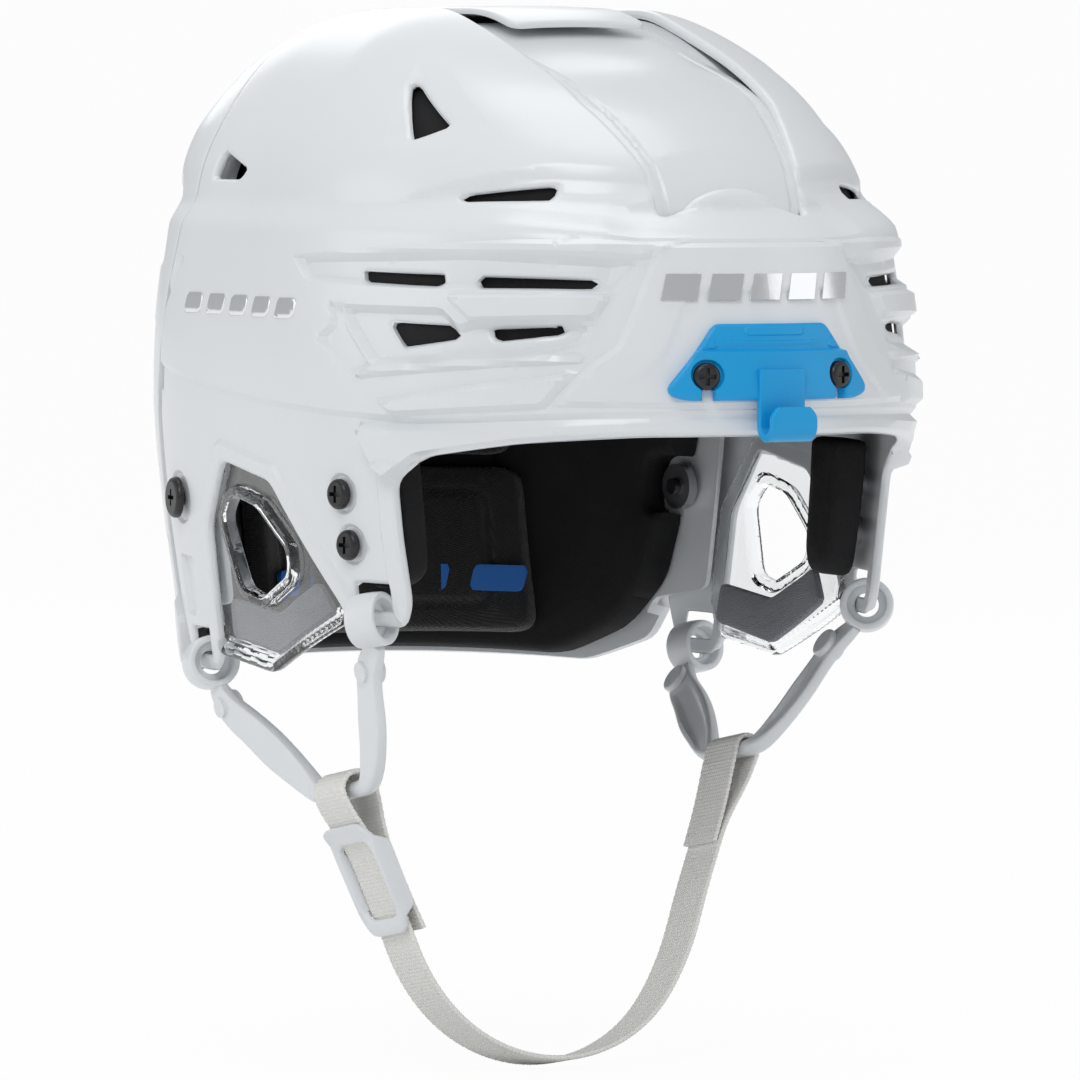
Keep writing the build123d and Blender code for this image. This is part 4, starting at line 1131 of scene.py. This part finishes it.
# A loop from its front hoop to its rear one: down, along, half width, half wall, corner, groove
LOOP_LINE = (
    (6.9, -52, 3.2, 1.4, 0.6, 0), (10.5, -48, 4.2, 1.7, 0.8, 0), (14, -44.2, 4.9, 1.75, 0.8, 0),
    (20, -41.4, 5, 1.75, 0.8, 0.2), (28, -38.6, 5.7, 1.75, 0.8, 1.1), (36, -35.2, 5.2, 1.8, 0.8, 1.1),
    (42, -31.6, 4.2, 2.1, 1.1, 0.5), (45.9, -27.6, 3.1, 2.5, 1.9, 0), (47, -23, 2.6, 2.6, 2.5, 0),
    (47, -12.1, 2.6, 2.6, 2.5, 0), (47, -3, 2.6, 2.6, 2.5, 0), (46.2, 1.6, 3, 2.6, 2, 0),
    (42.5, 8, 4.2, 2.1, 1.1, 0.5), (37, 15.5, 5.4, 1.8, 0.8, 1.1), (29, 27, 6.3, 1.75, 0.8, 1.1),
    (21, 38.5, 5.6, 1.75, 0.8, 0.6), (15, 47, 5, 1.75, 0.8, 0), (10.5, 50.6, 4.2, 1.7, 0.8, 0),
    (6.9, 52.2, 3.2, 1.4, 0.6, 0),
)
# Half of the buckle frame's section: share of the width, share of the height, share of the raised end
BUCKLE_SECTION = (
    (0, 0, 0), (0, 0.7, 0), (0.08, 0.93, 0), (0.22, 1, 0), (0.6, 1.04, 0.25), (0.85, 1, 0.8),
    (0.96, 0.86, 1), (1, 0.6, 1), (1, 0.2, 1), (0.93, 0, 1), (0.5, 0, 0.4),
)
BUCKLE_RUN = 27


def steady(count, *values):
    """Values that stay the same along a line."""
    return [np.full(count, float(value)) for value in values]


def rail_section(half_width, half_wall, corner, groove):
    """Round cornered section with a shallow groove along its inner face, for each step."""
    flat = np.linspace(-1, 1, 11)[None, :]
    half_width, half_wall, corner, groove = (v[:, None] for v in (half_width, half_wall, corner, groove))
    width = half_width - corner
    wall = half_wall - corner
    sunk = groove * (1 - ramp(np.abs(flat), 0.58, 0.72))
    crown = 0.22 * (1 - flat**2) * (half_width / half_wall > 1.5)
    parts = [np.stack([width * flat, half_wall + crown + 0 * width], axis=2)]
    for sign, angles in ((1, (65, 40, 15, -15, -40, -65)), (-1, (245, 220, 195, 165, 140, 115))):
        arc = np.radians(angles)[None, :]
        x = sign * width + corner * np.cos(arc)
        parts.append(np.stack([x, np.sign(np.sin(arc)) * wall + corner * np.sin(arc)], axis=2))
        if sign > 0:
            parts.append(np.stack([-width * flat, -half_wall + sunk], axis=2))
    return np.concatenate(parts, axis=1)


def hoop(centre, axis, radius, half_width, half_wall):
    """Closed band round a bridge of the shell."""
    down = STRAP_DOWN - axis * (STRAP_DOWN @ axis)
    down /= np.linalg.norm(down)
    turn = np.linspace(0, 2 * math.pi, 61)[:, None]
    ups = np.cos(turn) * down + np.sin(turn) * np.cross(axis, down)
    section = rail_section(*steady(len(turn), half_width, half_wall, 0.7, 0))
    return centre + radius * ups, ups, np.tile(axis, (len(turn), 1)), section


def make_loop(side, swing, name):
    turn = math.radians(swing)
    sideways = side * SIDEWAYS
    down = math.cos(turn) * STRAP_DOWN - math.sin(turn) * sideways
    outward = math.cos(turn) * sideways + math.sin(turn) * STRAP_DOWN
    hinge = np.array((side * HINGE[0], *HINGE[1:]))
    path, along, _ = smooth_path(np.array(LOOP_LINE), 0.8)
    centres = hinge + path[:, :1] * down + path[:, 1:2] * STRAP_ACROSS
    direction = along[:, :1] * down + along[:, 1:] * STRAP_ACROSS
    ups = np.tile(outward, (len(path), 1))
    parts = [(centres, ups, np.cross(direction, ups), rail_section(*path[:, 2:].T))]
    for place, angle in HOOP_TURNS:
        axis = math.cos(angle) * STRAP_ACROSS + math.sin(angle) * sideways
        parts += [hoop(hinge + place * STRAP_ACROSS, axis, *sizes) for sizes in HOOP]
    add_piece("loop_" + name, *tubes(*parts), 40, "loop_" + name, "loop_white", "ear_loop_" + name)


def make_buckle():
    """Slide buckle: a raised frame with one bar across it."""
    bar, down, out = RIGHT
    down, out = in_plane(down), in_plane(out)
    centre = STRAP_ORIGIN + in_plane(bar) + down * BUCKLE_RUN
    turn = np.linspace(0, 2 * math.pi, 121)
    across, run = (np.sign(wave) * np.abs(wave) ** 0.34 for wave in (np.sin(turn), np.cos(turn)))
    inner = np.stack([12.2 * run, 10.1 * across], axis=1)
    outer = np.stack([17.2 * run - rise(-run, 0.4, 1), 13 * across * (1 - 0.05 * run)], axis=1)
    low = 3.15 - 3.9 * ramp(np.abs(across), 0.97, 0.995)
    lip = 1.9 * rise(-outer[:, 0], 12.5, 17.5)
    high = 5.1 - 0.5 * rise(outer[:, 0], 8, 17)
    share, level, lift = np.array(BUCKLE_SECTION).T[:, None]
    height = low[:, None] + (high - low)[:, None] * level + lift * lip[:, None]
    section = np.stack([share + 0 * height, height], axis=2)
    near, far = (centre + flat[:, :1] * down + flat[:, 1:] * STRAP_ACROSS for flat in (inner, outer))
    reach = np.linspace(-10.8, 10.8, 9)[:, None]
    tile = (len(reach), 1)
    bar_part = (centre + reach * STRAP_ACROSS, np.tile(out, tile), np.tile(down, tile),
                rail_section(*steady(len(reach), 3.5, 0.75, 0.4, 0)))
    frame_part = (near, np.tile(out, (len(turn), 1)), far - near, section)
    add_piece("strap_slider", *tubes(frame_part, bar_part), 42, "buckle", "buckle_white", "strap_buckle")


# Trim

def make_clip():
    """Clip on the brow: a plate that fits the form, with a curled hook below it."""
    def shape(points, radius):
        return Outline("front", points, radius, in_front)

    outline = shape(CLIP, 1.6)
    label = shape(box((-34, 25.6), (34, 50)), 1)
    screws = (-CLIP_SCREW, CLIP_SCREW)
    notches = [outside(shape(box((x - 1.7, 4), (x + 1.7, 15)), 0.6)) for x in screws]
    seats = [disc("front", (x, 18.6), 4.25, in_front) for x in screws]
    marks = [shape(box((-9.5, 29.9), (9.5, 32.2)), 0.8)]
    marks += [shape(box((-x, z - 0.4), (x, z + 0.4)), 0.3) for x, z in ((15, 27.9), (12, 26.3))]
    marks += [shape(((x * 17.6, 26.2), (x * 22, 26.2), (x * 19.6, 29.8)), 0.4) for x in (-1, 1)]
    border = least(outline, *notches)
    skin = Skin((0, 0, 0, 0), 1.3, outline, outline, *notches)
    skin.cut(border, 0.3, 1)
    skin.cut(label, -0.6, 0.2)
    for seat in seats:
        skin.cut(seat, -0.3, 0.2)
    for mark in marks:
        skin.cut(mark, -0.15, 0.15)

    def outer(points):
        inside = label(points)
        height = 3 - 1.3 * ramp(inside, -0.6, 0.2)
        height += 0.4 * ramp(inside, -2.2, -1.2) * (1 - ramp(inside, -0.6, 0.2))
        for seat in seats:
            height = np.minimum(height, 3.4 - 1.6 * ramp(seat(points), -0.3, 0.2))
        for mark in marks:
            height += 0.35 * ramp(mark(points), -0.15, 0.15)
        return height - edge_round(border(points), 1)

    skin.build("clip_plate", outer, -0.4, 34, "helmet", "clip_blue", "cage_hook")
    rows = [(3.6, z, 7.5) for z in (16, 8, 1)]
    rows += [(3.6 * math.cos(a), 3.6 * math.sin(a), 7.5) for a in np.radians((-15, -50, -90, -130, -165))]
    rows += [(-3.6, 1, 7.5), (-3.5, 3.2, 7.1), (-3.3, 5.6, 5)]
    path, along, _ = smooth_path(np.array(rows), 0.3)
    centres = np.stack([0 * path[:, 0], *(path[:, :2] + HOOK).T], axis=1)
    direction = np.stack([0 * along[:, 0], *along.T], axis=1)
    acrosses = np.tile(SIDEWAYS, (len(path), 1))
    section = rail_section(path[:, 2], *steady(len(path), 1.1, 0.5, 0))
    add_piece("clip_hook", *tubes((centres, np.cross(direction, acrosses), acrosses, section)), 40,
              "helmet", "clip_blue")


def bars(name, view, corners, step, where, depths, radius, faces, edge, body, slot, paint=None):
    """Five thin bars that lie on the form, a step apart."""
    outer, inner = faces
    for index in range(5):
        outline = Outline(view, [(a + index * step, b) for a, b in corners], radius, where)
        skin = Skin(depths, 1.6, outline, outline)
        if edge:
            skin.cut(outline, 0.15, edge)
        skin.build(f"{name}_{index + 1}", lambda points: outer - edge_round(outline(points), edge), inner,
                   SHARP_SMALL, body, slot, paint=paint)


def make_bars():
    """Plain silver bars on the sides, and plain blue ones on the pad at the back of the head."""
    corners = ((41, 32), (30.4, 32.2), (28.6, 38.4), (39.2, 38.2))
    for side, name in SIDES:
        bars("side_bar_" + name, "side", corners, -14.6, one_side(side), (0,) * 4, 0.8, (0.45, -0.3), 0.4,
             "helmet", "trim_silver")
    low = REAR_PAD_SINK + 10
    deep = REAR_SINK + low
    corners = ((-43, -57.5), (-31, -57.5), (-29, -49.5), (-41, -49.5))
    bars("pad_bar", "front", corners, 18.2, at_back, (deep, deep, low, deep), 1.2, (0.9, -0.25), 0,
         "rear", "pad_black", "print")


# Stage: metres, degrees, and watts at light level 1

CAMERA_DISTANCE = 2.8001
CAMERA_TARGET = (0.00005, -0.00736, -0.03595)
CAMERA_AZIMUTH = -28.86
CAMERA_HEIGHT = 3.27
CAMERA_ROLL = -0.32
SENSOR = 36.0
FOCAL_SHARE = 9329.7 / 1080
FLOOR_REACH = 30.0
FLOOR_GAP = 0.0006
# Name, place, target, size and power
LAMPS = (
    ("key", (-1.3, -1.2, 1.5), (0, 0, 0), 1.1, 14), ("fill", (1.5, -1.3, 0.5), (0, 0, -0.05), 1.4, 3.5),
    ("top", (0, 0.2, 1.9), (0, 0, 0), 1.2, 8), ("back", (0.5, 1.8, 0.9), (0, 0, 0), 1.2, 5),
    ("side", (-1.8, 0.9, 0.5), (0, 0, 0), 1, 3),
)


def add_to_scene(name, data):
    thing = bpy.data.objects.new(name, data)
    bpy.context.scene.collection.objects.link(thing)
    return thing


def make_camera():
    azimuth, height, roll = map(math.radians, (CAMERA_AZIMUTH, CAMERA_HEIGHT, CAMERA_ROLL))
    flat = Vector((math.sin(azimuth), -math.cos(azimuth), 0))
    back = flat * math.cos(height) + Vector((0, 0, math.sin(height)))
    right = Vector((math.cos(azimuth), math.sin(azimuth), 0))
    up = back.cross(right)
    data = bpy.data.cameras.new("photo_camera")
    data.sensor_width = SENSOR
    data.lens = SENSOR * FOCAL_SHARE
    data.clip_end = 100
    place = Matrix((
        right * math.cos(roll) - up * math.sin(roll), right * math.sin(roll) + up * math.cos(roll), back,
    )).transposed().to_4x4()
    place.translation = Vector(CAMERA_TARGET) + back * CAMERA_DISTANCE
    camera = add_to_scene("photo_camera", data)
    camera.matrix_world = place
    bpy.context.scene.camera = camera


def make_stage(level):
    floor = bpy.data.meshes.new("studio_floor")
    height = cad_box[0][2] - FLOOR_GAP
    corners = box((-FLOOR_REACH, -FLOOR_REACH), (FLOOR_REACH, FLOOR_REACH))
    floor.from_pydata([(*corner, height) for corner in corners], [], [(0, 1, 2, 3)])
    floor.update()
    piece = add_to_scene("studio_floor", floor)
    pale = Finish("studio_floor", (0.9, 0.9, 0.9), 1.0, Specular_IOR_Level=0.0)
    glow = pale.node("ShaderNodeEmission", {}, {"Color": (1, 1, 1, 1), "Strength": 1.0})
    pale.mix(pale.rays("Camera", "Glossy", "Transmission") * 0.96, pale.shader, glow, "Material Output")
    floor.materials.append(pale.material)
    world = bpy.data.worlds.new("studio")
    world.use_nodes = True
    bpy.context.scene.world = world
    sky = Nodes(world.node_tree)
    back = sky.tree.nodes["Background"]
    sky.feed(back.inputs["Color"], (0.97, 0.985, 1.0, 1))
    sky.feed(back.inputs["Strength"], 0.5 * level)
    white = sky.node("ShaderNodeBackground", {}, {"Color": (0.978, 0.978, 0.978, 1)})
    sky.mix(sky.rays("Camera", "Transmission"), back, white, "World Output")
    for name, place, target, size, power in LAMPS:
        data = bpy.data.lights.new(name, "AREA")
        data.shape = "DISK"
        data.size = size
        data.energy = power * level
        lamp = add_to_scene(name, data)
        lamp.location = place
        lamp.rotation_euler = (Vector(target) - Vector(place)).to_track_quat("-Z", "Y").to_euler()
    bpy.context.scene.view_settings.view_transform = "Standard"


# Settings, operators and panel

def colour(name, description, value):
    return bpy.props.FloatVectorProperty(
        name=name, description=description, subtype="COLOR", size=3, min=0, max=1, default=value
    )


class HelmetColours(bpy.types.PropertyGroup):
    """Colours of the helmet's plastics, foam and webbing"""
    shell: colour("Shell", "Colour of the moulded shells", (0.80, 0.825, 0.845))
    clip: colour("Clip", "Colour of the clip on the brow", (0.0, 0.35, 0.74))
    guard: colour("Guards", "Tint of the clear ear guards", (0.96, 0.98, 0.99))
    foam: colour("Foam", "Colour of the foam and its cloth", (0.012, 0.012, 0.013))
    ear_pad: colour("Ear pads", "Colour of the pads behind the ear guards", (0.16, 0.17, 0.19))
    webbing: colour("Webbing", "Colour of the chin strap", (0.93, 0.92, 0.89))
    print: colour("Print", "Colour of the bars on the rear pad", (0.02, 0.16, 0.55))


class HelmetSizes(bpy.types.PropertyGroup):
    """Sizes that set how finely the helmet is made"""
    spacing: bpy.props.FloatProperty(
        name="Shell grid", description="Distance between the shells' grid lines, in millimetres",
        default=1.75, min=0.8, max=6.0,
    )
    soft_edge: bpy.props.FloatProperty(
        name="Soft edge", default=0.5, min=0.0, max=2.0,
        description="Width of the softened edges of the small plastic pieces, in millimetres",
    )
    light: bpy.props.FloatProperty(
        name="Light", description="Level of the studio light", default=1.0, min=0.1, max=3.0,
        subtype="FACTOR",
    )


class HELMET_OT_stage(bpy.types.Operator):
    """Adds the floor, the lamps and the camera"""
    bl_idname = "helmet.stage"
    bl_label = "Stage"

    def execute(self, context):
        make_camera()
        make_stage(context.scene.helmet_sizes.light)
        return {"FINISHED"}


class HELMET_OT_front_shell(bpy.types.Operator):
    """Makes the front shell with its rim, troughs, ridges and vents"""
    bl_idname = "helmet.front_shell"
    bl_label = "Front shell"

    def execute(self, context):
        make_front_shell(context.scene.helmet_sizes.spacing)
        return {"FINISHED"}


class HELMET_OT_crown_panel(bpy.types.Operator):
    """Makes the sunk panel between the front shell's wings"""
    bl_idname = "helmet.crown_panel"
    bl_label = "Crown panel"

    def execute(self, context):
        make_crown_panel(context.scene.helmet_sizes.spacing)
        return {"FINISHED"}


class HELMET_OT_rear_shell(bpy.types.Operator):
    """Makes the sliding rear shell and its tongue"""
    bl_idname = "helmet.rear_shell"
    bl_label = "Rear shell"

    def execute(self, context):
        make_rear_shell(context.scene.helmet_sizes.spacing)
        return {"FINISHED"}


class HELMET_OT_ear_guards(bpy.types.Operator):
    """Makes the clear ear guards and the pads behind them"""
    bl_idname = "helmet.ear_guards"
    bl_label = "Ear guards"

    def execute(self, context):
        for side, name in SIDES:
            make_ear_guard(side, name)
            make_ear_pad(side, name)
        return {"FINISHED"}


class HELMET_OT_foam(bpy.types.Operator):
    """Makes the foam liners and the comfort pads"""
    bl_idname = "helmet.foam"
    bl_label = "Foam and pads"

    def execute(self, context):
        make_front_liner()
        make_rear_liner()
        make_temple_pads()
        make_pads()
        return {"FINISHED"}


class HELMET_OT_strap(bpy.types.Operator):
    """Makes the webbing chin strap and its stitching"""
    bl_idname = "helmet.strap"
    bl_label = "Chin strap"

    def execute(self, context):
        make_strap()
        return {"FINISHED"}


class HELMET_OT_hardware(bpy.types.Operator):
    """Finishes the screws, nuts, studs, loops, buckle and clip"""
    bl_idname = "helmet.hardware"
    bl_label = "Hardware"

    def execute(self, context):
        soft = context.scene.helmet_sizes.soft_edge
        repaint(("adjust_screws", "visor_screws", "clip_screws"), "screw_black")
        repaint(("adjust_nuts", "visor_nuts", "clip_nuts"), "nut_metal")
        make_loop(-1, 10, "right")
        make_loop(1, 35, "left")
        make_buckle()
        repaint(("loop_studs_right", "loop_studs_left"), "stud_white", soft)
        make_clip()
        repaint(("brow_trim",), "trim_silver", 0.3 * soft)
        return {"FINISHED"}


class HELMET_OT_trim(bpy.types.Operator):
    """Makes the plain bars on the sides and on the rear pad"""
    bl_idname = "helmet.trim"
    bl_label = "Trim"

    def execute(self, context):
        make_bars()
        return {"FINISHED"}


OPERATORS = (
    HELMET_OT_stage, HELMET_OT_front_shell, HELMET_OT_crown_panel, HELMET_OT_rear_shell,
    HELMET_OT_ear_guards, HELMET_OT_foam, HELMET_OT_strap, HELMET_OT_hardware, HELMET_OT_trim,
)


class HELMET_PT_panel(bpy.types.Panel):
    """Lists the helmet's settings and the steps that make it"""
    bl_idname = "HELMET_PT_panel"
    bl_label = "Ice hockey helmet"
    bl_space_type = "VIEW_3D"
    bl_region_type = "UI"
    bl_category = "Helmet"

    def draw(self, context):
        for group in (context.scene.helmet_sizes, context.scene.helmet_colours):
            for name in group.bl_rna.properties.keys():
                if name not in ("rna_type", "name"):
                    self.layout.prop(group, name)
        for operator in OPERATORS:
            self.layout.operator(operator.bl_idname)


CLASSES = (HelmetColours, HelmetSizes, *OPERATORS, HELMET_PT_panel)


def register():
    for item in CLASSES:
        bpy.utils.register_class(item)
    bpy.types.Scene.helmet_colours = bpy.props.PointerProperty(type=HelmetColours)
    bpy.types.Scene.helmet_sizes = bpy.props.PointerProperty(type=HelmetSizes)


def unregister():
    del bpy.types.Scene.helmet_sizes
    del bpy.types.Scene.helmet_colours
    for item in reversed(CLASSES):
        bpy.utils.unregister_class(item)


def main():
    register()
    bpy.ops.helmet.stage()
    bpy.ops.helmet.front_shell()
    bpy.ops.helmet.crown_panel()
    bpy.ops.helmet.rear_shell()
    bpy.ops.helmet.ear_guards()
    bpy.ops.helmet.foam()
    bpy.ops.helmet.strap()
    bpy.ops.helmet.hardware()
    bpy.ops.helmet.trim()


if __name__ == "__main__":
    main()
